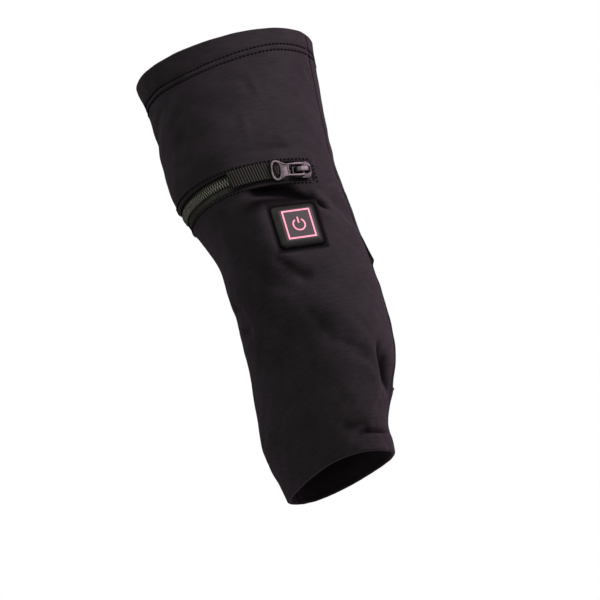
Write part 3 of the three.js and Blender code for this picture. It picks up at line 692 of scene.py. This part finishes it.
def speckled_material(name, dark, light, scale, roughness, **more):
    """Plastic, rubber, thread or metal; one may also lose its gloss under the painted shade."""
    look = Look(name)
    specular = more.get("specular", 0.5)
    look.surface("Metallic", more.get("metallic", 0.0))
    look.surface("Specular IOR Level", specular)
    noise = look.noise(look.solid, scale=scale, detail=more.get("detail", 6))
    shade = look.coloured(noise, (0.35, 0.68), (dark, light))
    # The gloss fades under the painted shade.
    if more.get("dull"):
        look.ranged("Specular IOR Level", shade, specular, specular * 0.08)
    look.ranged("Roughness", noise, *roughness)
    look.bump(noise, strength=0.5, distance=more.get("bump", 0.00002))
    return look.material


PLATING = {"metallic": 1.0, "bump": 0.000002, "detail": 1}
CLOTH_LOOK = cloth_material()
TAPE_LOOK = woven_material(
    "zip_tape_weave", (0.008, 0.008, 0.006), (0.115, 0.113, 0.086), scale=6, bump=0.0003)
RIBBON_LOOK = woven_material(
    "ribbed_ribbon", (0.008, 0.008, 0.006), (0.042, 0.040, 0.029), scale=8, bump=0.0001)
TEETH_LOOK = speckled_material(
    "nylon_coil", (0.085, 0.083, 0.062), (0.175, 0.170, 0.128), 700, (0.34, 0.55))
# Near-black thread, darker than the cloth: partly the thread's own colour, partly painted shade of its
# needle holes.
THREAD_LOOK = speckled_material(
    "sewing_thread", (0.0012,) * 3, (0.003,) * 3, 2500, (0.7, 0.9), specular=0.05)
METAL_LOOK = speckled_material(
    "gunmetal_plating", (0.043, 0.040, 0.040), (0.064, 0.060, 0.059), 500, (0.30, 0.38), **PLATING)
SLIDER_LOOK = speckled_material(
    "black_nickel", (0.022, 0.020, 0.021), (0.038, 0.034, 0.035), 500, (0.3, 0.38), **PLATING)
# The silicone's gloss fades under the painted shade of its slopes.
RUBBER_LOOK = speckled_material(
    "matt_silicone", (0.0125, 0.0122, 0.0105), (0.020, 0.0195, 0.017), 900, (0.42, 0.6),
    specular=0.25, bump=0.00003, dull=True)
# A thin flange round the button's foot, coloured near black as painted shadow in the gap round the
# button.
SHADOW_FLANGE_LOOK = speckled_material(
    "flange_painted_shadow", (0.001,) * 3, (0.0022,) * 3, 900, (0.7, 0.9), specular=0.03)
PRINT_LOOK = speckled_material(
    "pink_print", (0.90, 0.27, 0.34), (1.0, 0.34, 0.42), 1200, (0.4, 0.6), specular=0.3)


# The two panels of cloth

def seam_gap(height):
    return degrees_for(SEAM_GAP, height)


def back_relief(angle, height):
    return zip_lift(angle, height) + cuff_lift(angle, height) + hem_lift(height)


def palm_relief(angle, height):
    """The palm panel's corner stands out a little at the top of the thumb hole."""
    from_seam = length_for(angle - seam_angle(height), height)
    corner = 1.5 * hump(height, -7.5, 8.0) * hump(np.maximum(from_seam, 0), 0, 7.0)
    return cuff_lift(angle, height) + hem_lift(height) + corner


def hole_degrees(height):
    """The oval cut of the thumb hole, which is in the palm panel alone."""
    middle = (height + HOLE_DROP + HOLE_LENGTH / 2) / (HOLE_LENGTH / 2)
    return degrees_for(HOLE_WIDTH, height) * np.sqrt(np.clip(1 - middle ** 2, 0, 1))


# Rows of the mesh that follow the zip's lips, the cuff's stitches and the thumb hole.
lip_steps = np.array([-0.5, -0.27, -0.02, 0.06, 0.2, 0.45, 0.8, 1.3])
lip_rows = [ZIP_HEIGHT + side * (HALF_WINDOW + lip_steps) for side in (-1, 1)]
stitch_rows = np.arange(98.0, 110.0, 0.42)
hole_rows = -HOLE_DROP - HOLE_LENGTH / 2 * (1 + np.cos(np.linspace(0, math.pi, 90)))
back = cloth_shell(
    "cloth_back",
    lambda h: -180 + seam_gap(h),
    lambda h: seam_angle(h) - seam_gap(h),
    132,
    row_heights(0.95, [*lip_rows, stitch_rows]),
    back_relief,
)
palm = cloth_shell(
    "cloth_palm",
    lambda h: seam_angle(h) + seam_gap(h) + hole_degrees(h),
    lambda h: 180 - seam_gap(h),
    112,
    row_heights(1.1, [hole_rows, stitch_rows]),
    palm_relief,
)


# Stitches

# A direction that no thread runs along.
ASKEW = (0.123, 0.456, 0.88)
THREAD_SIDES = 6


def capsules(name, paths, radius, material, sides=THREAD_SIDES):
    """Short round-ended threads, each along its own few points."""
    points, faces = [], []
    for path in paths:
        path = np.asarray(path, float)
        count = len(path)
        tangent = np.gradient(path, axis=0)
        tangent /= np.linalg.norm(tangent, axis=1, keepdims=True)
        side = np.cross(tangent, ASKEW)
        side /= np.linalg.norm(side, axis=1, keepdims=True)
        other = np.cross(tangent, side)
        faces += tube_faces(count, sides, len(points))
        for k in range(count):
            shrink = 0.35 if k in (0, count - 1) else 1.0
            for j in range(sides):
                turn = 2 * math.pi * j / sides
                spoke = side[k] * math.cos(turn) + other[k] * math.sin(turn)
                points.append(path[k] + radius * shrink * spoke)
    return add_mesh(name, points, faces, material)


def lengths_along(line):
    """The distance of each point from the first, along the line."""
    steps = np.linalg.norm(np.diff(line, axis=0), axis=1)
    return np.concatenate([[0], np.cumsum(steps)])


def stitch_row(angles, heights, lift):
    """Stitches of one row, laid over a dense line of places on the cloth."""
    length = lengths_along(lifted(angles, heights, lift))
    arch = np.array([-0.32, 0.0, 0.08, 0.0, -0.32])
    made = []
    for k in range(int(length[-1] / STITCH_PITCH)):
        start = k * STITCH_PITCH
        places = np.linspace(start, start + STITCH_LENGTH, len(arch))
        angle, height, base = (np.interp(places, length, v) for v in (angles, heights, lift))
        made.append(lifted(angle, height, base + arch))
    return made


def cuff_stitches():
    made = []
    for k in (0, 1):
        for first, last in ((-179, -9), (-7, 179)):
            angles = np.linspace(first, last, 700)
            heights = cuff_row(angles, k)
            relief = cuff_lift(angles, heights) + detail(angles, heights)
            made += stitch_row(angles, heights, relief + 0.16)
    return made


def zip_stitches():
    """A row on each side of the window and a short one across its end."""
    made = []
    angles = np.linspace(-174, ZIP_START + 1.5, 500)
    above = HALF_WINDOW + 1.3 + 1.1 * smoothstep(-angles, 80, 130)
    below = -HALF_WINDOW - 1.1 + 0 * angles
    for offset in (above, below):
        heights = zip_height(angles) + offset
        made += stitch_row(angles, heights, detail(angles, heights) + 0.34)
    across = np.linspace(-HALF_WINDOW - 1.0, HALF_WINDOW + 1.0, 60)
    angles = ZIP_START + 2.0 + 0 * across
    heights = zip_height(angles) + across
    return made + stitch_row(angles, heights, detail(angles, heights) + 0.2)


cuff_thread = capsules("cuff_stitches", cuff_stitches(), THREAD_RADIUS, THREAD_LOOK)
zip_thread = capsules("zip_stitches", zip_stitches(), THREAD_RADIUS, THREAD_LOOK)


# The zip

steps = np.linspace(ZIP_START, ZIP_END, 161)
run = lengths_along(skin(steps, zip_height(steps)))
WINDOW_LENGTH = run[-1]
TEETH_START = SLIDER_END_GAP + SLIDER_LENGTH + 0.3
TAPE_BOTTOM = -WINDOW_DEPTH + 0.05
TAPE_TOP = -0.9
TAPE_RIBS = 12


def zip_angle(distance):
    return np.interp(distance, run, steps)


def strip(name, stations, profile, material, shade_at):
    """A closed strip along the zip; profile gives (across, lift) corners at a station."""
    rings, shade = [], []
    for distance in stations:
        corners = np.array(profile(distance))
        angle = np.full(len(corners), zip_angle(distance))
        rings.append(lifted(angle, zip_height(angle) + corners[:, 0], corners[:, 1]))
        shade.append(shade_at(distance, corners[:, 0]))
    count, sides = len(rings), len(rings[0])
    faces = tube_faces(count, sides, flip=True)
    around = np.array(profile(stations[0]))[:, 0]
    uv = np.stack([np.repeat(np.asarray(stations) / 10, sides), np.tile(around / 10, count)], -1)
    return add_mesh(name, np.concatenate(rings), faces, material, uv, np.concatenate(shade))


def rounded_bar(low, high, bottom, top, radius, steps=4):
    """Corners of a flat bar with rounded edges, anticlockwise."""
    corners = []
    for x, y, first in (
        (high - radius, bottom + radius, -90),
        (high - radius, top - radius, 0),
        (low + radius, top - radius, 90),
        (low + radius, bottom + radius, 180),
    ):
        for k in range(steps + 1):
            turn = math.radians(first + 90 * k / steps)
            corners.append((x + radius * math.cos(turn), y + radius * math.sin(turn)))
    return corners


def tape(name, side):
    """One of the two tapes, with painted shade by the lips, by the teeth and at the slider's end."""
    inner = TEETH_RISE + side * 0.2
    outer = side * (HALF_WINDOW + 0.05)
    low, high = sorted((inner, outer))

    def profile(distance):
        corners = rounded_bar(low, high, TAPE_BOTTOM, TAPE_TOP, 0.25)
        ribs = []
        for k in range(TAPE_RIBS - 1, 0, -1):
            ribs.append((low + (high - low) * k / TAPE_RIBS, TAPE_TOP + 0.05 * math.cos(k * math.pi)))
        return corners[:10] + ribs + corners[10:]

    def shade(distance, across):
        lip = hump(np.abs(across), HALF_WINDOW, 0.9)
        teeth_side = hump(np.abs(across - TEETH_RISE), TEETH_WIDTH / 2, 0.5)
        far = 0.9 * (1 - smoothstep(distance, 32, 56))
        return np.clip(np.maximum(0.9 * lip, 0.95 * teeth_side) + far, 0, 1)

    return strip(name, np.arange(0.2, WINDOW_LENGTH - 0.2, 0.5), profile, TAPE_LOOK, shade)


def coil():
    """Two interlocked rows of coil loops."""
    paths = []
    half = TEETH_WIDTH / 2
    for k, distance in enumerate(np.arange(TEETH_START, WINDOW_LENGTH - 2, COIL_PITCH)):
        side = 1 if k % 2 else -1
        across = np.array([-0.28, 0.05, 0.35, 0.7, 0.92, 1.0, 0.93]) * half * side
        height = np.array([-0.25, 0.12, 0.3, 0.28, 0.05, -0.25, -0.5])
        along = distance + np.array([0.0, 0.02, 0.08, 0.18, 0.24, 0.28, 0.3])
        angle = zip_angle(along)
        paths.append(lifted(angle, zip_height(angle) + TEETH_RISE + across, height))
    return capsules("zip_teeth", paths, COIL_RADIUS, TEETH_LOOK)


def ribbon():
    """The ribbed band that lies on the teeth, with painted shade between its ribs and a painted shadow
    where the pull covers it.
    """
    start = SLIDER_END_GAP + SLIDER_LENGTH / 2 + PULL_LENGTH - RIBBON_UNDER_PULL
    low, high = TEETH_RISE - RIBBON_WIDTH / 2, TEETH_RISE + RIBBON_WIDTH / 2

    def rib(distance):
        return abs(math.sin(math.pi * (distance - start) / RIB_PITCH))

    def profile(distance):
        crest = rib(distance) ** 0.7
        inset = 0.22 * (1 - crest)
        return rounded_bar(low + inset, high - inset, 0.8, 1.15 + 0.65 * crest, 0.17)

    def shade(distance, across):
        pull_shadow = 1 - smoothstep(distance, start + 2.6, start + 4.4)
        return np.clip(1.4 * (1 - rib(distance)) + pull_shadow, 0, 1) + 0 * across

    return strip("rib_band", np.arange(start, start + RIBBON_LENGTH, 0.104), profile, RIBBON_LOOK, shade)


tape_upper = tape("tape_upper", 1)
tape_lower = tape("tape_lower", -1)
teeth = coil()
# The cord under the loops, painted nearly black with shade so that the gaps between the loops look
# shaded.
cords = strip(
    "teeth_cord",
    np.arange(TEETH_START + 0.1, WINDOW_LENGTH - 1.6, 0.6),
    lambda distance: rounded_bar(TEETH_RISE - 1.5, TEETH_RISE + 1.5, -0.75, -0.1, 0.3),
    TEETH_LOOK,
    lambda distance, across: 0.97 + 0 * across,
)
rib_band = ribbon()


# Plates from outlines

def outline_solid(outlines, bottom, top, bevel, rounds=3):
    """Points and faces of a flat solid with rounded edges; later outlines are holes."""
    curve = bpy.data.curves.new("outline", "CURVE")
    curve.dimensions = "2D"
    curve.fill_mode = "BOTH"
    curve.extrude = (top - bottom) / 2 - bevel
    curve.bevel_depth = bevel
    curve.bevel_resolution = rounds
    curve.offset = -bevel
    for outline in outlines:
        spline = curve.splines.new("POLY")
        spline.points.add(len(outline) - 1)
        for point, (x, y) in zip(spline.points, outline):
            point.co = (x, y, 0, 1)
        spline.use_cyclic_u = True
    temporary = collection_link(bpy.data.objects.new("outline", curve))
    seen = temporary.evaluated_get(bpy.context.evaluated_depsgraph_get())
    mesh = bpy.data.meshes.new_from_object(seen)
    points = np.array([v.co for v in mesh.vertices], float).reshape(-1, 3)
    faces = [tuple(p.vertices) for p in mesh.polygons]
    bpy.data.objects.remove(temporary)
    bpy.data.curves.remove(curve)
    bpy.data.meshes.remove(mesh)
    points[:, 2] += (top + bottom) / 2
    return points, faces


def joined(parts):
    points, faces, start = [], [], 0
    for part_points, part_faces in parts:
        points.append(part_points)
        faces += [tuple(start + k for k in face) for face in part_faces]
        start += len(part_points)
    return np.concatenate(points), faces


def rectangle(left, right, low, high):
    return [(left, low), (right, low), (right, high), (left, high)]


def arc(x, y, wide, tall, turns):
    return [(x + wide * math.cos(t), y + tall * math.sin(t)) for t in turns]


def full_turn(count):
    return np.linspace(0, 2 * math.pi, count + 1)[:-1]


def turned(points, degrees, axis):
    return moved(points, np.array(Matrix.Rotation(math.radians(degrees), 4, axis)))


def smooth_outline(corners, radius, steps=5):
    """Rounds each corner of a polygon by up to a radius."""
    made = []
    count = len(corners)
    for k in range(count):
        before, here, after = (np.array(corners[(k + d) % count], float) for d in (-1, 0, 1))
        lengths = np.linalg.norm(before - here), np.linalg.norm(after - here)
        reach = min(radius, lengths[0] * 0.45, lengths[1] * 0.45)
        a = here + (before - here) / lengths[0] * reach
        b = here + (after - here) / lengths[1] * reach
        for t in np.linspace(0, 1, steps):
            made.append(tuple((1 - t) ** 2 * a + 2 * t * (1 - t) * here + t * t * b))
    return made


def crisp(obj):
    """Smooth shading that keeps the sharp edges."""
    work = bmesh.new()
    work.from_mesh(obj.data)
    bmesh.ops.remove_doubles(work, verts=work.verts, dist=2e-6)
    bmesh.ops.recalc_face_normals(work, faces=work.faces)
    for edge in work.edges:
        edge.smooth = not (len(edge.link_faces) == 2 and edge.calc_face_angle(0) > math.radians(40))
    for face in work.faces:
        face.smooth = True
    work.to_mesh(obj.data)
    work.free()
    return obj


# The slider and its pull

def plate(corners, radius, bottom, top, bevel):
    return outline_solid([smooth_outline(corners, radius)], bottom, top, bevel)


def slider():
    """The top plate, the plate behind the tapes, the post, two flanges and the crown."""
    half = SLIDER_LENGTH / 2
    shield = [(-half, -2.6), (-half + 1.3, -3.7), (0, -4.0)]
    shield += [(half - 2.2, -4.4), (half - 0.4, -3.3), (half, -1.6)]
    shield += [(x, -y) for x, y in reversed(shield)]
    parts = [
        plate(shield, 1.1, 0.45, 1.35, 0.28),
        plate(rectangle(-half, half, -2.9, 2.9), 1.0, -1.6, -0.95, 0.15),
        plate(rectangle(half - 3.2, half - 0.8, -0.8, 0.8), 0.6, -1.3, 0.9, 0.1),
    ]
    for side in (-1, 1):
        wall = [(-half + 1.4, side * 3.3), (half - 2.0, side * 3.9)]
        wall += [(half - 2.0, side * 4.2), (-half + 1.4, side * 3.6)]
        parts.append(plate(wall, 0.15, -0.45, 0.9, 0.1))
    points, faces = joined(parts)
    body = crisp(add_mesh("slider_body", moved(points, SLIDER_FRAME), faces, SLIDER_LOOK))
    side_view = [(-4.5, 1.0), (-3.87, 2.75), (-2.16, 4.06), (2.48, 4.06), (4.14, 2.9), (4.5, 1.0)]
    opening = [(-2.9, 1.25), (2.9, 1.25), (2.0, 3.25), (-1.8, 3.25)]
    outlines = [smooth_outline(side_view, 1.3), smooth_outline(opening, 0.5)]
    points, faces = outline_solid(outlines, -1.35, 1.35, 0.4)
    upright = moved(turned(points, 90, "X"), SLIDER_FRAME)
    return body, crisp(add_mesh("slider_crown", upright, faces, METAL_LOOK))


# Half the pull's outline from the fork to the end: share of its length, of its half width.
PULL_SIDE = [
    (0.05, 0.70), (0.20, 0.70), (0.34, 0.66), (0.44, 0.61), (0.53, 0.63), (0.62, 0.74),
    (0.72, 0.90), (0.81, 1.00), (0.90, 0.97), (0.97, 0.80), (1.00, 0.45),
]
PULL_NOSE = 0.9
FORK_DEPTH = 7.1
FORK_GAP = 2.05
SLOT = (1.9, 4.0)
PIN = (0.6, 2.5)


def pull():
    """A forked plate on a pin, with a slot in its end, a step and a rail on each side."""
    out = PULL_WIDTH / 2
    upper = [(-along * PULL_LENGTH, across * out) for along, across in PULL_SIDE]
    lower = [(x, -y) for x, y in reversed(upper)]
    tip, other_tip = [(PULL_NOSE, FORK_GAP), (PULL_NOSE, out * 0.6)], (PULL_NOSE, -out * 0.6)
    fork = [(PULL_NOSE, -FORK_GAP), (-FORK_DEPTH, -FORK_GAP), (-FORK_DEPTH, FORK_GAP)]
    outline = [*tip, *upper, *lower, other_tip, *fork]
    slot = arc(PULL_NOSE + SLOT[0] - PULL_LENGTH, 0, *SLOT, full_turn(32))
    rod, rod_faces = outline_solid([arc(0, 0, PIN[0], PIN[0], full_turn(16))], -PIN[1], PIN[1], 0.05)
    parts = [
        outline_solid([smooth_outline(outline, 0.9), slot], -0.6, 0.6, 0.32, 4),
        (turned(rod, -90, "X"), rod_faces),
        plate(rectangle(-8.0, -7.3, -2.9, 2.9), 0.3, 0.2, 0.85, 0.15),
    ]
    for side in (-1, 1):
        rail = [(-11.6, 3.4), (-10.0, 2.5), (-7.6, 2.35), (0.4, 2.3)]
        rail += [(0.4, 3.3), (-6.0, 3.2), (-9.0, 3.1), (-11.4, 4.1)]
        rail = [(x, side * y) for x, y in rail]
        parts.append(plate(rail, 0.5, 0.2, 0.9, 0.2))
    points, faces = joined(parts)
    points = turned(points, -PULL_DROOP, "Y") + np.array((0, 0, PIN_HEIGHT))
    return crisp(add_mesh("pull_tab", moved(points, SLIDER_FRAME), faces, METAL_LOOK))


slider_body, slider_crown = slider()
pull_tab = pull()


# The push button

def rounded_square(side, radius, steps=8):
    return rounded_bar(-side / 2, side / 2, -side / 2, side / 2, radius, steps)


def loft(name, profile, material, shade_at=None):
    """A solid of rounded squares; profile gives the side, corner radius and height of each."""
    rings = [(rounded_square(side, radius), height) for side, radius, height in profile]
    points = [(x, y, height) for ring, height in rings for x, y in ring]
    faces = tube_faces(len(rings), len(rings[0][0]))
    shade = [shade_at(*point) for point in points] if shade_at else None
    return add_mesh(name, moved(points, BUTTON_FRAME), faces, material, shade=shade)


BUTTON_RISE = 2.8


def button_side_shade(x, y, height):
    """Painted shade on the slopes that face away from the light, deepest at their foot."""
    low = min(max((BUTTON_RISE - 0.3 - height) / 1.6, 0), 1)
    away = max(x, -y) / (BUTTON_SIZE / 2)
    return low * 0.95 * smoothstep(away, 0.66, 0.88)


push_button = loft("push_button", [
    (BUTTON_SIZE, 2.2, -0.5),
    (BUTTON_SIZE, 2.2, 0.35),
    (BUTTON_SIZE - 0.06, 2.2, 0.55),
    (BUTTON_SIZE - 0.3, 2.15, 0.75),
    (BUTTON_SIZE - 0.8, 2.1, 0.95),
    (BUTTON_SIZE - 2.2, 1.95, 1.47),
    (BUTTON_SIZE - 3.5, 1.8, 1.97),
    (BUTTON_TOP + 1.1, 1.6, BUTTON_RISE - 0.36),
    (BUTTON_TOP + 0.5, 1.5, BUTTON_RISE - 0.13),
    (BUTTON_TOP - 0.1, 1.45, BUTTON_RISE - 0.02),
    (BUTTON_TOP - 0.8, 1.4, BUTTON_RISE),
    (BUTTON_TOP - 1.6, 1.3, BUTTON_RISE),
], RUBBER_LOOK, button_side_shade)
# The flange under the button's edge, in near-black painted shadow.
button_flange = loft("button_flange", [
    (BUTTON_SIZE + 1.3, 2.7, -0.7),
    (BUTTON_SIZE + 1.3, 2.7, 0.02),
    (BUTTON_SIZE + 1.0, 2.6, 0.14),
    (BUTTON_SIZE, 2.3, 0.16),
    (BUTTON_SIZE - 1.0, 2.0, 0.16),
], SHADOW_FLANGE_LOOK)


def band(outer, inner, bottom, top):
    """A flat closed band between two rings of points."""
    count = len(outer)
    rings = (outer, bottom), (outer, top), (inner, top), (inner, bottom)
    points = [(x, y, z) for ring, z in rings for x, y in ring]
    faces = []
    for ring in range(4):
        here, there = ring * count, (ring + 1) % 4 * count
        for k in range(count):
            after = (k + 1) % count
            faces.append((here + k, here + after, there + after, there + k))
    return np.array(points), faces


def printed():
    """A pink square line frame, and the usual power symbol inside it."""
    low, high = BUTTON_RISE - 0.1, BUTTON_RISE + 0.06
    wide, tall, line_width = 14.2, 15.1, 0.78
    rings = []
    for side, radius in ((tall, 0.25), (tall - 2 * line_width, 0.1)):
        rings.append([(x * wide / tall, y) for x, y in rounded_square(side, radius, 3)])
    turns = np.radians(np.linspace(122, 418, 41))
    outer, inner = (arc(0, -0.3, radius, radius, turns) for radius in (3.3, 2.6))
    stem = smooth_outline(rectangle(-0.36, 0.36, 0.4, 3.7), 0.2, 3)
    parts = [band(*rings, low, high)]
    parts += [outline_solid([shape], low, high, 0.03, 1) for shape in (outer + inner[::-1], stem)]
    points, faces = joined(parts)
    return crisp(add_mesh("button_print", moved(points, BUTTON_FRAME), faces, PRINT_LOOK))


button_print = printed()


# What each piece stands for

for piece, body, slot, node in (
    (back, "sleeve", "cloth", "back_panel"),
    (palm, "sleeve", "cloth", "palm_panel"),
    (cuff_thread, "sleeve", "cloth", None),
    (zip_thread, "sleeve", "cloth", None),
    (tape_upper, "sleeve", "tape", "zip_tape_upper"),
    (tape_lower, "sleeve", "tape", "zip_tape_lower"),
    (teeth, "sleeve", "teeth", "zip_coil"),
    (cords, "sleeve", "teeth", None),
    (rib_band, "sleeve", "ribbon", "zip_ribbon"),
    (slider_body, "sleeve", "gunmetal", "zip_slider"),
    (slider_crown, "sleeve", "gunmetal", None),
    (pull_tab, "pull", "gunmetal", "zip_pull"),
    (push_button, "sleeve", "silicone", "button"),
    (button_flange, "sleeve", "silicone", None),
    (button_print, "sleeve", "silicone", None),
):
    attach(piece, body)
    if node:
        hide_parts(node)


# Camera, light and floor

CAMERA_DISTANCE = 1.1
CAMERA_ANGLES = (14.0, -20.0, 16.0)
CAMERA_LENS = 135.3
CAMERA_SHIFT = (4 / 600, -28 / 600)
FLOOR_LEVEL = -620
FLOOR_REACH = 6000
MIDDLE = Vector((-0.003, 0, 0.01))


def camera():
    azimuth, elevation, roll = (math.radians(v) for v in CAMERA_ANGLES)
    right = Vector((math.cos(azimuth), math.sin(azimuth), 0))
    level = Vector((math.sin(azimuth), -math.cos(azimuth), 0))
    back_way = level * math.cos(elevation) + Vector((0, 0, math.sin(elevation)))
    up = back_way.cross(right)
    x = right * math.cos(roll) - up * math.sin(roll)
    y = right * math.sin(roll) + up * math.cos(roll)
    data = bpy.data.cameras.new("camera")
    data.sensor_width = 36
    data.lens = CAMERA_LENS
    data.shift_x, data.shift_y = CAMERA_SHIFT
    data.clip_start = 0.05
    data.clip_end = 50
    obj = collection_link(bpy.data.objects.new("camera", data))
    turn = Matrix((x, y, back_way)).transposed().to_4x4()
    obj.matrix_world = Matrix.Translation(back_way * CAMERA_DISTANCE) @ turn
    bpy.context.scene.camera = obj
    return x, y, back_way


def area_light(name, offsets, size, energy, colour):
    """A panel of light off the sleeve's middle, along the camera's axes, that faces it."""
    data = bpy.data.lights.new(name, "AREA")
    data.shape = "RECTANGLE"
    data.size, data.size_y = size
    data.energy = energy
    data.color = colour
    obj = collection_link(bpy.data.objects.new(name, data))
    obj.location = MIDDLE.copy()
    for axis, offset in zip(camera_axes, offsets):
        obj.location += axis * offset
    obj.rotation_mode = "QUATERNION"
    obj.rotation_quaternion = (MIDDLE - obj.location).to_track_quat("-Z", "Y")


def floor():
    corners = rectangle(-FLOOR_REACH, FLOOR_REACH, -FLOOR_REACH, FLOOR_REACH)
    points = [(x, y, FLOOR_LEVEL) for x, y in corners]
    look = speckled_material("pale_floor", (0.86,) * 3, (0.9,) * 3, 3, (0.7, 0.8), specular=0.1)
    add_mesh("floor", points, [(0, 1, 2, 3)], look)


def world():
    made = bpy.data.worlds.new("studio")
    made.use_nodes = True
    nodes, links = made.node_tree.nodes, made.node_tree.links
    seen, lighting = nodes["Background"], nodes.new("ShaderNodeBackground")
    for node, colour, strength in ((seen, (1, 1, 1, 1), 1.0), (lighting, (0.94, 1, 0.96, 1), 0.11)):
        node.inputs["Color"].default_value = colour
        node.inputs["Strength"].default_value = strength
    path = nodes.new("ShaderNodeLightPath")
    mix = nodes.new("ShaderNodeMixShader")
    links.new(path.outputs["Is Camera Ray"], mix.inputs[0])
    links.new(lighting.outputs[0], mix.inputs[1])
    links.new(seen.outputs[0], mix.inputs[2])
    links.new(mix.outputs[0], nodes["World Output"].inputs["Surface"])
    bpy.context.scene.world = made


camera_axes = camera()
area_light("key", (0.74, 0.8, 0.44), (0.6, 0.9), 19.5, (1.0, 0.79, 0.94))
area_light("fill", (-0.05, 0.62, 0.75), (0.8, 0.9), 5.7, (0.94, 1.0, 0.96))
floor()
world()
bpy.context.scene.view_settings.view_transform = "Standard"
